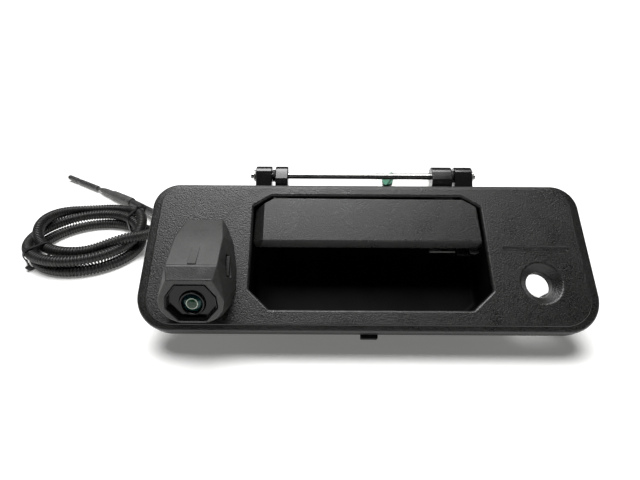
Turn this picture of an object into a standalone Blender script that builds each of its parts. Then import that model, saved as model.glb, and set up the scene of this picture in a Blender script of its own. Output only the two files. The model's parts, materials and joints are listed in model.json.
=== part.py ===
"""Pickup tailgate handle with a built-in backup camera.

The face of the bezel leans back, as it does when the handle lies on a table: its weight stands on
the lower back edge of the finger pocket and on two mounting posts. Everything but the cord is placed
in the face frame: +X to the right along the face, +Y into the tailgate, +Z up along the face. Its
origin is the middle of the bezel's face.
"""

import math

import bmesh
import bpy
from mathutils import Matrix, Vector

MM = 0.001
GAP = 0.3 * MM

# Where the face stands, and how far it leans back from upright.
LEAN = math.radians(48.0)
FACE_Y = -21.16 * MM

# Bezel
BEZEL_TOP = 57.4 * MM
BEZEL_LOW = -54.0 * MM
BEZEL_TOP_HALF_WIDTH = 159.4 * MM
BEZEL_LOW_HALF_WIDTH = 162.3 * MM
BEZEL_TOP_RADIUS = 19.0 * MM
BEZEL_LOW_RADIUS = 26.0 * MM
BEZEL_BAND = 9.0 * MM
BEZEL_SKIN = 3.0 * MM
BEZEL_DEPTH = 12.0 * MM

# Opening for the hand, as seen along the face's normal
OPENING = ((-70.8, 48.7), (-84.8, 39.6), (-85.0, -25.2), (-69.5, -40.0),
           (73.0, -40.0), (88.8, -25.6), (86.3, 39.6), (71.8, 48.7))
POCKET_WALL = 2.8 * MM
POCKET_FRONT = BEZEL_SKIN + GAP
POCKET_BACK = 45.5 * MM
OPENING_LOW = -40.0 * MM

# Hinge
HINGE_W = 16.0 * MM
HINGE_V = 72.5 * MM
ROD_RADIUS = 2.5 * MM
ROD_BORE = 2.8 * MM
KNUCKLE_RADIUS = 7.4 * MM
# How far a hinge block's front leans in towards its foot
BLOCK_LEAN = 6.0 * MM
ARM_SPANS = {"left": (-69.4 * MM, -59.4 * MM), "right": (53.7 * MM, 69.6 * MM)}
BLOCK_SPANS = {"left": (-84.7 * MM, -72.0 * MM), "right": (71.7 * MM, 85.6 * MM)}

# Release levers, seen from the front: pivot, ear and cam arm
LEVER_FRONT = 30.0 * MM
LEVER_BACK = 32.5 * MM
LEVER_PIVOTS = {"left": (21.4 * MM, 58.0 * MM), "right": (59.0 * MM, 57.5 * MM)}
LEVER_EARS = {"left": (21.4 * MM, 75.5 * MM), "right": (59.0 * MM, 70.5 * MM)}
LEVER_CAMS = {"left": (34.0 * MM, 60.5 * MM), "right": (46.5 * MM, 60.2 * MM)}
EAR_RADII = {"left": 9.2 * MM, "right": 8.5 * MM}
LEVER_PIN_RADIUS = 2.5 * MM

# Lock
LOCK_U = 122.4 * MM
LOCK_V = -19.0 * MM
LOCK_BORE = 9.4 * MM

# Camera pod. Its lens axis points forward and down from the face.
POD_U = -118.5 * MM
LENS_W = -16.23 * MM
LENS_V = -40.0 * MM
LENS_TURN = math.radians(130.0)
LENS_FACE = ((22.0, 3.5), (20.8, -3.5), (16.0, -9.7), (8.5, -12.7))
LENS_FACE_TOP = (13.4, 18.3)
LENS_OPENING = ((-9.2, 14.3), (-15.0, 6.0), (-15.0, -1.0), (-8.5, -10.0),
                (8.5, -10.0), (15.0, -1.0), (15.0, 6.0), (9.2, 14.3))
HOOD_DEPTH = 3.5 * MM
POD_RIM = 0.8 * MM

# Mounting posts behind the pocket
POST_V = -12.0 * MM
POST_RADIUS = 7.0 * MM
POST_SPACING = 100.0 * MM

# Cord: a corrugated conduit, which ends in a smooth jacket
CORD_RADIUS = 5.0 * MM
JACKET_RADIUS = 4.3 * MM
COIL_X = -261.0 * MM
COIL_Y = 103.5 * MM
COIL_INNER = 34.0 * MM
COIL_OUTER = 61.5 * MM
COIL_LOW = 1.6 * MM
COIL_TOP = 27.0 * MM
TIE_THICKNESS = 1.0 * MM

POCKET_LOW = OPENING_LOW - POCKET_WALL
FACE_Z = POCKET_BACK * math.sin(LEAN) - POCKET_LOW * math.cos(LEAN)
# The posts reach the same level as the pocket's lower back edge.
POST_BACK = (FACE_Z + (POST_V - POST_RADIUS) * math.cos(LEAN)) / math.sin(LEAN)

BLACK = (0.020, 0.020, 0.021)
MATERIALS = {
    "textured_black": (BLACK, 0.0, 0.55),
    "smooth_black": ((0.010, 0.010, 0.011), 0.0, 0.35),
    "gloss_black": ((0.006, 0.006, 0.007), 0.0, 0.12),
    "pod_grey": ((0.045, 0.046, 0.045), 0.0, 0.5),
    "steel": ((0.55, 0.55, 0.54), 1.0, 0.3),
    "zinc": ((0.72, 0.72, 0.70), 1.0, 0.35),
    "green_plastic": ((0.02, 0.30, 0.16), 0.0, 0.4),
    "lens_glass": ((0.02, 0.07, 0.06), 0.0, 0.04),
    "bright_ring": ((0.80, 0.84, 0.80), 0.0, 0.3),
    "circuit_green": ((0.02, 0.14, 0.06), 0.0, 0.5),
    "rubber": ((0.018, 0.018, 0.018), 0.0, 0.7),
    "conduit": ((0.016, 0.016, 0.016), 0.0, 0.45),
    "shrink_grey": ((0.060, 0.062, 0.060), 0.0, 0.6),
}


# ---------------------------------------------------------------------------------- helpers

def mm(points):
    """A list of points given in millimetres, in metres."""
    return [tuple(value * MM for value in point) for point in points]


def material(name):
    found = bpy.data.materials.get(name)
    if found:
        return found
    colour, metallic, roughness = MATERIALS[name]
    made = bpy.data.materials.new(name)
    made.use_nodes = True
    shader = made.node_tree.nodes["Principled BSDF"]
    shader.inputs["Base Color"].default_value = (*colour, 1.0)
    shader.inputs["Metallic"].default_value = metallic
    shader.inputs["Roughness"].default_value = roughness
    return made


def empty(name, parent=None, location=(0, 0, 0), tilt=0.0):
    holder = bpy.data.objects.new(name, None)
    bpy.context.collection.objects.link(holder)
    holder.parent = parent
    holder.location = location
    holder.rotation_euler.x = tilt
    return holder


def add(name, mesh, finish, parent, origin=(0, 0, 0)):
    """Place a bmesh, given in its parent's frame, as an object whose origin is at origin."""
    bmesh.ops.recalc_face_normals(mesh, faces=mesh.faces)
    bmesh.ops.translate(mesh, verts=mesh.verts, vec=-Vector(origin))
    data = bpy.data.meshes.new(name)
    mesh.to_mesh(data)
    mesh.free()
    data.shade_smooth()
    data.set_sharp_from_angle(angle=math.radians(35))
    data.materials.append(material(finish))
    made = bpy.data.objects.new(name, data)
    bpy.context.collection.objects.link(made)
    made.parent = parent
    made.location = origin
    return made


def loft(rings):
    """A closed body through rings of equal point count, capped at both ends."""
    mesh = bmesh.new()
    rows = [[mesh.verts.new(point) for point in ring] for ring in rings]
    count = len(rows[0])
    for low, high in zip(rows, rows[1:]):
        for i in range(count):
            j = (i + 1) % count
            mesh.faces.new((low[i], low[j], high[j], high[i]))
    mesh.faces.new(rows[0])
    mesh.faces.new(rows[-1])
    return mesh


def on_axis(axis, a, b, level):
    """The point (a, b) of an outline at a level along the axis that the outline is square to."""
    if axis == "x":
        return (level, a, b)
    if axis == "y":
        return (a, level, b)
    return (a, b, level)


def prism(outline, low, high, axis):
    return loft([[on_axis(axis, a, b, level) for a, b in outline] for level in (low, high)])


def rectangle(a_low, a_high, b_low, b_high):
    return [(a_low, b_low), (a_high, b_low), (a_high, b_high), (a_low, b_high)]


def arc(centre, radius, start, end, steps):
    """Points of a circular arc, from angle start to end in degrees."""
    points = []
    for i in range(steps + 1):
        angle = math.radians(start + (end - start) * i / steps)
        points.append((centre[0] + radius * math.cos(angle), centre[1] + radius * math.sin(angle)))
    return points


def circle(centre, radius, steps=24):
    return arc(centre, radius, 0, 360 - 360 / steps, steps - 1)


def offset(outline, distance):
    """The convex, anticlockwise outline, moved outwards by distance."""
    moved = []
    count = len(outline)
    for i in range(count):
        before = Vector(outline[i - 1])
        here = Vector(outline[i])
        after = Vector(outline[(i + 1) % count])
        first = (here - before).normalized()
        second = (after - here).normalized()
        normal_1 = Vector((first.y, -first.x))
        normal_2 = Vector((second.y, -second.x))
        middle = (normal_1 + normal_2) / (1.0 + normal_1.dot(normal_2))
        moved.append(tuple(here + middle * distance))
    return moved


def hull_outline(points):
    """The convex outline round a set of flat points, anticlockwise."""
    points = sorted(set(points))

    def half(sequence):
        chain = []
        for point in sequence:
            while len(chain) > 1:
                (ax, ay), (bx, by) = chain[-2], chain[-1]
                if (bx - ax) * (point[1] - ay) - (by - ay) * (point[0] - ax) > 0:
                    break
                chain.pop()
            chain.append(point)
        return chain[:-1]

    return half(points) + half(reversed(points))


def hull_solid(points):
    """The convex body round a set of points."""
    mesh = bmesh.new()
    for point in points:
        mesh.verts.new(point)
    result = bmesh.ops.convex_hull(mesh, input=mesh.verts)
    loose = [item for item in result["geom_interior"] if isinstance(item, bmesh.types.BMVert)]
    bmesh.ops.delete(mesh, geom=loose, context="VERTS")
    bmesh.ops.dissolve_limit(mesh, angle_limit=math.radians(0.5), verts=mesh.verts, edges=mesh.edges)
    return mesh


def turned(profile, segments=24, closed=False):
    """A body turned about local Z from (radius, height) points, bottom to top."""
    mesh = bmesh.new()
    rings = []
    for radius, height in profile:
        if radius < 1e-9:
            rings.append([mesh.verts.new((0, 0, height))])
            continue
        ring = []
        for i in range(segments):
            angle = 2 * math.pi * i / segments
            ring.append(mesh.verts.new((radius * math.cos(angle), radius * math.sin(angle), height)))
        rings.append(ring)
    pairs = list(zip(rings, rings[1:]))
    if closed:
        pairs.append((rings[-1], rings[0]))
    for low, high in pairs:
        for i in range(segments):
            j = (i + 1) % segments
            if len(low) == 1:
                mesh.faces.new((low[0], high[j], high[i]))
            elif len(high) == 1:
                mesh.faces.new((low[i], low[j], high[0]))
            else:
                mesh.faces.new((low[i], low[j], high[j], high[i]))
    if not closed:
        for ring in (rings[0], rings[-1]):
            if len(ring) > 1:
                mesh.faces.new(ring)
    return mesh


def ring_profile(inner, outer, low, high):
    return [(inner, low), (outer, low), (outer, high), (inner, high)]


def lay_along(mesh, start, axis):
    """Turn a body made about local Z so that Z runs along axis, and move it to start."""
    turn = Vector((0, 0, 1)).rotation_difference(Vector(axis)).to_matrix().to_4x4()
    bmesh.ops.transform(mesh, matrix=Matrix.Translation(start) @ turn, verts=mesh.verts)
    return mesh


def cylinder(start, axis, radius, length, segments=24):
    return lay_along(turned([(radius, 0), (radius, length)], segments), start, axis)


def combine(target, mesh, operation):
    """Cut, join or keep the target with a hidden body."""
    tool = add(f"{target.name}_{operation.lower()}_{len(target.modifiers)}", mesh,
               target.data.materials[0].name, target.parent)
    tool.hide_render = True
    tool.display_type = "WIRE"
    change = target.modifiers.new(tool.name, "BOOLEAN")
    change.operation = operation
    change.solver = "EXACT"
    change.object = tool


def cut(target, mesh):
    combine(target, mesh, "DIFFERENCE")


def join(target, mesh):
    combine(target, mesh, "UNION")


# ---------------------------------------------------------------------------------- bezel

def bezel_outline(inset):
    """The bezel's outline, seen from the front: four round corners and the sides between them."""
    top_x = BEZEL_TOP_HALF_WIDTH - BEZEL_TOP_RADIUS
    top_z = BEZEL_TOP - BEZEL_TOP_RADIUS
    low_x = BEZEL_LOW_HALF_WIDTH - BEZEL_LOW_RADIUS
    low_z = BEZEL_LOW + BEZEL_LOW_RADIUS
    points = arc((low_x, low_z), BEZEL_LOW_RADIUS - inset, -90, 0, 7)
    points += arc((top_x, top_z), BEZEL_TOP_RADIUS - inset, 0, 90, 7)
    points += arc((-top_x, top_z), BEZEL_TOP_RADIUS - inset, 90, 180, 7)
    points += arc((-low_x, low_z), BEZEL_LOW_RADIUS - inset, 180, 270, 7)
    return points


def opening_outline(distance=0.0):
    return offset(mm(OPENING[3:] + OPENING[:3]), distance)


def build_bezel(face):
    flange_inset = 2.6 * MM
    sections = ((BEZEL_BAND, 0.0), (BEZEL_BAND - 0.8 * MM, 0.7 * MM), (1.4 * MM, 2.6 * MM),
                (0.0, 4.2 * MM), (0.0, BEZEL_DEPTH), (flange_inset, BEZEL_DEPTH),
                (flange_inset, 6.2 * MM), (BEZEL_BAND, BEZEL_SKIN))
    rings = [[(x, depth, z) for x, z in bezel_outline(inset)] for inset, depth in sections]
    bezel = add("front_bezel", loft(rings), "textured_black", face)
    boss_depth = 5.0 * MM
    boss = prism(circle((LOCK_U, LOCK_V), 17.0 * MM, 32), BEZEL_SKIN - 0.4 * MM, boss_depth, "y")
    join(bezel, boss)
    chamfer = 1.3 * MM
    mouth = [[(x, depth, z) for x, z in opening_outline(grow)]
             for grow, depth in ((chamfer + 0.5 * MM, -0.5 * MM), (0.0, chamfer), (0.0, 8.0 * MM))]
    cut(bezel, loft(mouth))
    slope = 5.3 * MM
    countersink = [(slope + LOCK_BORE + slope * 0.1, -0.5 * MM), (LOCK_BORE, boss_depth - 0.2 * MM),
                   (LOCK_BORE, 8.0 * MM)]
    cut(bezel, lay_along(turned(countersink, 32), (LOCK_U, 0, LOCK_V), (0, 1, 0)))
    groove = rectangle(98.3 * MM, 145.4 * MM, 5.0 * MM, 8.2 * MM)
    cut(bezel, prism(groove, -1.0 * MM, 1.0 * MM, "y"))
    camera_way = rectangle(POD_U - 13.6 * MM, POD_U + 13.6 * MM, -41.0 * MM, -3.0 * MM)
    cut(bezel, prism(camera_way, -1.0 * MM, 8.0 * MM, "y"))
    hinge_way = rectangle(-87.5 * MM, 88.5 * MM, 51.9 * MM, 60.0 * MM)
    cut(bezel, prism(hinge_way, 4.8 * MM, 14.0 * MM, "y"))


def build_pocket(face):
    body = [[(x, depth, z) for x, z in opening_outline(POCKET_WALL)] for depth in (POCKET_FRONT, POCKET_BACK)]
    pocket = add("finger_pocket", loft(body), "smooth_black", face)
    flange = mm([(-95, -30), (-81, -42.8), (85, -42.8), (99.5, -30), (99.5, 38), (-95, 38)])
    join(pocket, prism(flange, POCKET_FRONT, POCKET_FRONT + 2.0 * MM, "y"))
    hollow = [[(x, depth, z) for x, z in opening_outline()] for depth in (0.0, POCKET_BACK - 2.5 * MM)]
    cut(pocket, loft(hollow))
    cut(pocket, prism(mm(rectangle(-100.0, 100.0, 44.6, 56.0)), 1.0 * MM, 6.6 * MM, "y"))
    slot_side = 0.4 * MM
    for low, high in ARM_SPANS.values():
        slot = rectangle(low - slot_side, high + slot_side, 44.0 * MM, 56.0 * MM)
        cut(pocket, prism(slot, 1.0 * MM, 24.0 * MM, "y"))
    cut(pocket, prism(mm(rectangle(23.6, 27.4, 11.1, 15.4)), 80.0 * MM, 95.0 * MM, "x"))
    tab = mm(rectangle(-5.0, 7.0, -56.5, POCKET_LOW / MM - 0.3))
    add("snap_tab", prism(tab, 12.6 * MM, 19.0 * MM, "y"), "smooth_black", face)
    screw_places = mm([(-91.3, 28), (-91.3, -20), (94.8, 28), (95.6, -20)])
    head = [(2.6 * MM, 0.0), (3.0 * MM, 0.5 * MM), (3.0 * MM, 2.0 * MM), (1.6 * MM, 2.6 * MM)]
    for number, (x, z) in enumerate(screw_places, 1):
        start = (x, POCKET_FRONT + 2.0 * MM + GAP, z)
        add(f"pocket_screw_{number}", lay_along(turned(head, 12), start, (0, 1, 0)), "zinc", face)
    for side, sign in (("left", -1), ("right", 1)):
        build_post(face, side, sign * POST_SPACING / 2)


def build_post(face, side, x):
    length = POST_BACK - POCKET_BACK - GAP
    start = (x, POCKET_BACK + GAP, POST_V)
    post = add(f"mounting_post_{side}", cylinder(start, (0, 1, 0), POST_RADIUS, length), "smooth_black", face)
    hole_depth = 14.0 * MM
    hole = cylinder((x, POST_BACK - hole_depth, POST_V), (0, 1, 0), 2.6 * MM, 20.0 * MM, 16)
    cut(post, hole)


# ---------------------------------------------------------------------------------- hinge and handle

def knuckle_profile(legs):
    """Side view (w, v) of a knuckle: a round top about the hinge, on the given leg points."""
    return legs + arc((HINGE_W, HINGE_V), KNUCKLE_RADIUS, 0, 180, 10)


def build_hinge(face):
    bar = mm(rectangle(-86.0, 87.0, 52.1, 63.0))
    add("hinge_bar", prism(bar, 24.0 * MM, 27.0 * MM, "y"), "smooth_black", face)
    front = HINGE_W - KNUCKLE_RADIUS
    back = HINGE_W + KNUCKLE_RADIUS
    foot = 52.1 * MM
    for side, (low, high) in BLOCK_SPANS.items():
        profile = knuckle_profile([(front + BLOCK_LEAN, foot), (back, foot)])
        block = add(f"hinge_block_{side}", prism(profile, low, high, "x"), "gloss_black", face)
        bore = cylinder((low - 5 * MM, HINGE_W, HINGE_V), (1, 0, 0), ROD_BORE, 30 * MM)
        cut(block, bore)
    rod_low = -89.4 * MM
    rod = cylinder((rod_low, HINGE_W, HINGE_V), (1, 0, 0), ROD_RADIUS, 178.8 * MM)
    add("hinge_rod", rod, "steel", face)
    clip_starts = {"left": -86.7 * MM, "right": 86.0 * MM}
    for side, start in clip_starts.items():
        clip = turned(ring_profile(ROD_BORE, 4.6 * MM, 0.0, 1.1 * MM), 20, closed=True)
        add(f"rod_end_clip_{side}", lay_along(clip, (start, HINGE_W, HINGE_V), (1, 0, 0)), "zinc", face)
    bush_spans = {"left": (-71.7 * MM, -69.7 * MM), "right": (69.9 * MM, 71.4 * MM)}
    for side, (low, high) in bush_spans.items():
        bush = turned(ring_profile(ROD_BORE, 4.8 * MM, 0.0, high - low), 20, closed=True)
        add(f"hinge_bush_{side}", lay_along(bush, (low, HINGE_W, HINGE_V), (1, 0, 0)), "rubber", face)


def build_handle(face):
    pivot = (0.0, HINGE_W, HINGE_V)
    front = mm([(-75.6, 11.8), (80.7, 11.8), (79.2, 40.0), (70.0, 45.5), (-68.0, 45.5), (-75.5, 41.1)])
    back = mm([(-83.4, 8.2), (85.8, 8.2), (84.0, 38.0), (71.2, 44.7), (-69.8, 44.7), (-82.2, 38.4)])
    rings = [[(x, depth, z) for x, z in outline]
             for outline, depth in ((front, 0.0), (back, 6.0 * MM), (offset(back, -0.8 * MM), 7.6 * MM))]
    paddle = add("handle_paddle", loft(rings), "textured_black", face, pivot)
    recess = mm(rectangle(-71.8, 75.8, 14.2, 40.2))
    cut(paddle, prism(recess, 3.0 * MM, 12.0 * MM, "y"))
    plate = mm(rectangle(-71.5, 75.5, 14.5, 39.9))
    plate_back = 8.2 * MM
    add("handle_plate", prism(plate, 3.3 * MM, plate_back, "y"), "smooth_black", face, pivot)
    legs = mm([(8.5, 22.0), (14.0, 24.0), (22.5, 42.0)]) + [(HINGE_W + KNUCKLE_RADIUS, 64.0 * MM)]
    front_legs = [(HINGE_W - KNUCKLE_RADIUS, 66.0 * MM)] + mm([(17.2, 56.0), (17.5, 43.5), (8.5, 38.5)])
    profile = knuckle_profile(legs) + front_legs
    for side, (low, high) in ARM_SPANS.items():
        arm = add(f"handle_arm_{side}", prism(profile, low, high, "x"), "gloss_black", face, pivot)
        cut(arm, cylinder((low - 5 * MM, HINGE_W, HINGE_V), (1, 0, 0), ROD_BORE, 30 * MM))
    bumper = prism(mm(rectangle(76.3, 84.0, 4.8, 12.0)), 7.9 * MM, 13.5 * MM, "y")
    add("handle_bumper", bumper, "rubber", face, pivot)
    head = [(3.4 * MM, 0.0), (4.0 * MM, 0.6 * MM), (4.0 * MM, 1.8 * MM), (2.0 * MM, 2.4 * MM)]
    for side, x in (("left", -36.0 * MM), ("right", 38.0 * MM)):
        screw = lay_along(turned(head, 14), (x, plate_back + GAP, 27.0 * MM), (0, 1, 0))
        add(f"handle_screw_{side}", screw, "zinc", face, pivot)


# ---------------------------------------------------------------------------------- release and lock

def build_release(face):
    bracket = mm(rectangle(8.0, 72.0, 52.1, 64.0))
    add("mechanism_bracket", prism(bracket, 27.3 * MM, 29.6 * MM, "y"), "smooth_black", face)
    for side in ("left", "right"):
        build_lever(face, side)
        build_lever_pin(face, side)
    ear_x, ear_z = LEVER_EARS["left"]
    clip_face = LEVER_FRONT - GAP
    stem = [(4.4 * MM, -2.6 * MM), (4.4 * MM, -GAP), (2.7 * MM, -GAP), (2.7 * MM, 4.6 * MM), (1.8 * MM, 5.4 * MM)]
    clip = add("rod_clip", lay_along(turned(stem, 16), (ear_x, LEVER_FRONT, ear_z), (0, 1, 0)),
               "green_plastic", face, (ear_x, LEVER_FRONT, ear_z))
    wing = hull_outline(circle((ear_x - 2.0 * MM, ear_z - 3.4 * MM), 1.9 * MM, 10)
                        + circle((ear_x + 3.2 * MM, ear_z + 4.4 * MM), 1.9 * MM, 10))
    join(clip, prism(wing, clip_face - 3.6 * MM, clip_face - 0.6 * MM, "y"))


def build_lever(face, side):
    """A flat zinc lever: pivot, ear for the latch rod, and a cam arm that the handle pushes."""
    pivot = LEVER_PIVOTS[side]
    ear = LEVER_EARS[side]
    cam = LEVER_CAMS[side]
    origin = (pivot[0], LEVER_FRONT, pivot[1])
    body = hull_outline(circle(pivot, 6.0 * MM, 20) + circle(ear, EAR_RADII[side], 24))
    lever = add(f"release_lever_{side}", prism(body, LEVER_FRONT, LEVER_BACK, "y"), "zinc", face, origin)
    arm = hull_outline(circle(pivot, 5.0 * MM, 16) + circle(cam, 3.5 * MM, 16))
    join(lever, prism(arm, LEVER_FRONT, LEVER_BACK, "y"))
    past = 1.0 * MM
    cut(lever, prism(circle(pivot, LEVER_PIN_RADIUS + GAP, 20), LEVER_FRONT - past, LEVER_BACK + past, "y"))
    cut(lever, prism(circle(ear, 3.0 * MM, 20), LEVER_FRONT - past, LEVER_BACK + past, "y"))


def build_lever_pin(face, side):
    """The pin that a release lever turns on, and the return spring wound round it."""
    x, z = LEVER_PIVOTS[side]
    start = (x, LEVER_FRONT - 0.1 * MM, z)
    head_radius = 4.2 * MM
    shaft = 9.0 * MM
    profile = [(LEVER_PIN_RADIUS, 0.0), (LEVER_PIN_RADIUS, shaft), (head_radius, shaft),
               (head_radius, shaft + 1.6 * MM)]
    add(f"lever_pin_{side}", lay_along(turned(profile, 16), start, (0, 1, 0)), "steel", face)
    wire = 0.6 * MM
    mean_radius = 3.7 * MM
    pitch = 1.5 * MM
    turns = 3
    steps = 12
    sign = -1 if side == "left" else 1
    base = LEVER_BACK + 1.2 * MM
    route = [(x + sign * mean_radius, base, z - 5.0 * MM)]
    for i in range(turns * steps + 1):
        angle = 2 * math.pi * i / steps
        route.append((x + sign * mean_radius * math.cos(angle), base + pitch * i / steps,
                      z + mean_radius * math.sin(angle)))
    tube(f"return_spring_{side}", route, wire, "steel", face, 1)


def build_lock(face):
    sleeve = turned([(LOCK_BORE, 0.0), (15.0 * MM, 0.0), (15.0 * MM, 2.2 * MM), (12.4 * MM, 2.2 * MM),
                     (12.4 * MM, 20.0 * MM), (LOCK_BORE, 20.0 * MM)], 32, closed=True)
    add("lock_sleeve", lay_along(sleeve, (LOCK_U, 5.0 * MM + GAP, LOCK_V), (0, 1, 0)), "smooth_black", face)
    bar = mm(rectangle(24.0, 27.0, 11.5, 15.0))
    add("lock_bar", prism(bar, 50.5 * MM, 112.0 * MM, "x"), "zinc", face, (50.5 * MM, 25.5 * MM, 13.2 * MM))
    guide = add("lock_bar_guide", prism(mm(rectangle(20.5, 30.5, 8.1, 18.4)), 70.5 * MM, 86.2 * MM, "x"),
                "gloss_black", face)
    cut(guide, prism(mm(rectangle(23.7, 27.3, 11.2, 15.3)), 65.0 * MM, 95.0 * MM, "x"))


# ---------------------------------------------------------------------------------- camera

def lens_to_face(x, b, depth=0.0):
    """A point of the lens frame (x across, b up the lens face, depth inwards) in the face frame."""
    along = math.sin(LENS_TURN) * depth
    return (POD_U + x,
            LENS_W + b * math.cos(LENS_TURN) + along,
            LENS_V + b * math.sin(LENS_TURN) - math.cos(LENS_TURN) * depth)


def pod_points():
    """Corners of the pod: its foot on the bezel, its sloping top, its lip and its lens face."""
    foot_w = -GAP
    foot = ((13.0, 28.0), (17.5, 20.5), (22.0, 10.0), (25.5, -9.0), (26.0, -24.0), (23.8, -35.5),
            (18.5, -43.0), (10.0, -48.0))
    top = ((12.8, 27.0, -1.4), (15.1, -15.0, -26.0))
    points = []
    for sign in (-1, 1):
        points += [(POD_U + sign * x * MM, foot_w, v * MM) for x, v in foot]
        points += [(POD_U + sign * x * MM, w * MM, v * MM) for x, v, w in top]
        points += [lens_to_face(sign * x * MM, b * MM) for x, b in LENS_FACE + (LENS_FACE_TOP,)]
    return points


def lens_outline(grow):
    return offset(mm(LENS_OPENING), grow)


def face_outline(grow):
    """Outline of the pod's flat lens face, moved outwards by grow."""
    right = LENS_FACE[::-1] + (LENS_FACE_TOP,)
    left = tuple((-x, b) for x, b in right[::-1])
    return offset(mm(right + left), grow)


def build_pod(face, lens):
    cover = add("pod_cover", hull_solid(pod_points()), "pod_grey", face)
    seat = -(HOOD_DEPTH + GAP)
    beyond = 5.0 * MM
    cut_in_frame(cover, prism(face_outline(-POD_RIM), seat, beyond, "z"), lens)
    cut_in_frame(cover, prism(lens_outline(1.6 * MM), -8.5 * MM, beyond, "z"), lens)
    tunnel = 11.4 * MM
    far = 60.0 * MM
    cut_in_frame(cover, prism(rectangle(-tunnel, tunnel, -tunnel, tunnel), -far, -7.0 * MM, "z"), lens)
    slot = prism(mm(rectangle(-15.6, -8.6, -19.5, -3.0)), POD_U + 19.6 * MM, POD_U + 40.0 * MM, "x")
    cut(cover, slot)
    insert = prism(mm(rectangle(-11.9, -9.2, -18.5, -4.0)), POD_U + 19.9 * MM, POD_U + 22.6 * MM, "x")
    add("pod_side_insert", insert, "pod_grey", face)
    hood = add("lens_hood", prism(face_outline(-POD_RIM - GAP), -HOOD_DEPTH, 0.0, "z"), "gloss_black", lens)
    cut(hood, prism(lens_outline(0.0), -8.0 * MM, beyond, "z"))


def cut_in_frame(target, mesh, frame):
    place = Matrix.Translation(frame.location) @ Matrix.Rotation(frame.rotation_euler.x, 4, "X")
    bmesh.ops.transform(mesh, matrix=place, verts=mesh.verts)
    cut(target, mesh)


def build_camera(lens):
    bore = 8.8 * MM
    carrier = add("lens_carrier", prism(lens_outline(1.2 * MM), -6.2 * MM, -4.2 * MM, "z"), "gloss_black", lens)
    cut(carrier, prism(circle((0, 0), bore, 32), -8.0 * MM, 0.0, "z"))
    seat = 7.2 * MM
    barrel = [(5.4 * MM, -22.0 * MM), (5.4 * MM, -13.0 * MM), (8.4 * MM, -12.0 * MM), (8.4 * MM, -4.2 * MM),
              (seat, -4.2 * MM), (seat, -7.2 * MM), (0.0, -7.2 * MM)]
    add("lens_barrel", turned(barrel, 32), "gloss_black", lens)
    ring = [(seat, -3.9 * MM), (8.5 * MM, -3.9 * MM), (8.5 * MM, -2.7 * MM), (8.0 * MM, -2.1 * MM),
            (seat, -2.4 * MM)]
    add("lens_ring", turned(ring, 32, closed=True), "gloss_black", lens)
    iris = turned(ring_profile(2.8 * MM, 3.6 * MM, -6.9 * MM, -6.3 * MM), 28, closed=True)
    add("iris_ring", iris, "bright_ring", lens)
    dome_radius = 10.2 * MM
    rim = 6.9 * MM
    top = -1.7 * MM
    centre = top - dome_radius
    base = -5.6 * MM
    profile = [(0.0, base), (rim, base)]
    widest = math.asin(rim / dome_radius)
    steps = 6
    for i in range(steps + 1):
        angle = widest * (1 - i / steps)
        profile.append((dome_radius * math.sin(angle), centre + dome_radius * math.cos(angle)))
    add("front_glass", turned(profile, 32), "lens_glass", lens)
    seal = turned(ring_profile(bore, 10.6 * MM, -8.2 * MM, -6.5 * MM), 28, closed=True)
    add("lens_seal", seal, "rubber", lens)
    build_camera_body(lens)


def build_camera_body(lens):
    half = 11.0 * MM
    body_front = -14.2 * MM
    body_back = -33.0 * MM
    body = add("camera_body", prism(rectangle(-half, half, -half, half), body_back, body_front, "z"),
               "smooth_black", lens)
    inside = half - 1.8 * MM
    cut(body, prism(rectangle(-inside, inside, -inside, inside), body_back - 2 * MM, -16.5 * MM, "z"))
    cut(body, prism(circle((0, 0), 5.8 * MM, 24), -20.0 * MM, -10.0 * MM, "z"))
    board = 8.8 * MM
    add("sensor_board", prism(rectangle(-board, board, -board, board), -27.2 * MM, -25.8 * MM, "z"),
        "circuit_green", lens)
    sensor = prism(mm(rectangle(-3.6, 3.6, -2.8, 2.8)), -25.5 * MM, -24.3 * MM, "z")
    add("image_sensor", sensor, "gloss_black", lens)
    cover_back = -35.6 * MM
    add("camera_back_cover", prism(rectangle(-half, half, -half, half), cover_back, body_back - GAP, "z"),
        "smooth_black", lens)
    gland = [(6.2 * MM, -58.0 * MM), (8.4 * MM, -40.0 * MM), (8.4 * MM, cover_back - GAP)]
    add("cable_gland", turned(gland, 20), "rubber", lens)


def build_pod_screws(face):
    head = [(2.6 * MM, 0.0), (3.0 * MM, 0.5 * MM), (3.0 * MM, 2.0 * MM), (1.6 * MM, 2.6 * MM)]
    for side, sign in (("left", -1), ("right", 1)):
        start = (POD_U + sign * 19.5 * MM, BEZEL_SKIN + GAP, -20.0 * MM)
        add(f"pod_screw_{side}", lay_along(turned(head, 12), start, (0, 1, 0)), "zinc", face)


# ---------------------------------------------------------------------------------- cord

def tube(name, route, radius, finish, parent, roundness=3):
    """A tube along a route of points, with closed ends."""
    data = bpy.data.curves.new(name, "CURVE")
    data.dimensions = "3D"
    data.bevel_depth = radius
    data.bevel_resolution = roundness
    data.use_fill_caps = True
    data.materials.append(material(finish))
    spline = data.splines.new("POLY")
    spline.points.add(len(route) - 1)
    for point, place in zip(spline.points, route):
        point.co = (*place, 1.0)
    made = bpy.data.objects.new(name, data)
    bpy.context.collection.objects.link(made)
    made.parent = parent
    return made


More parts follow.
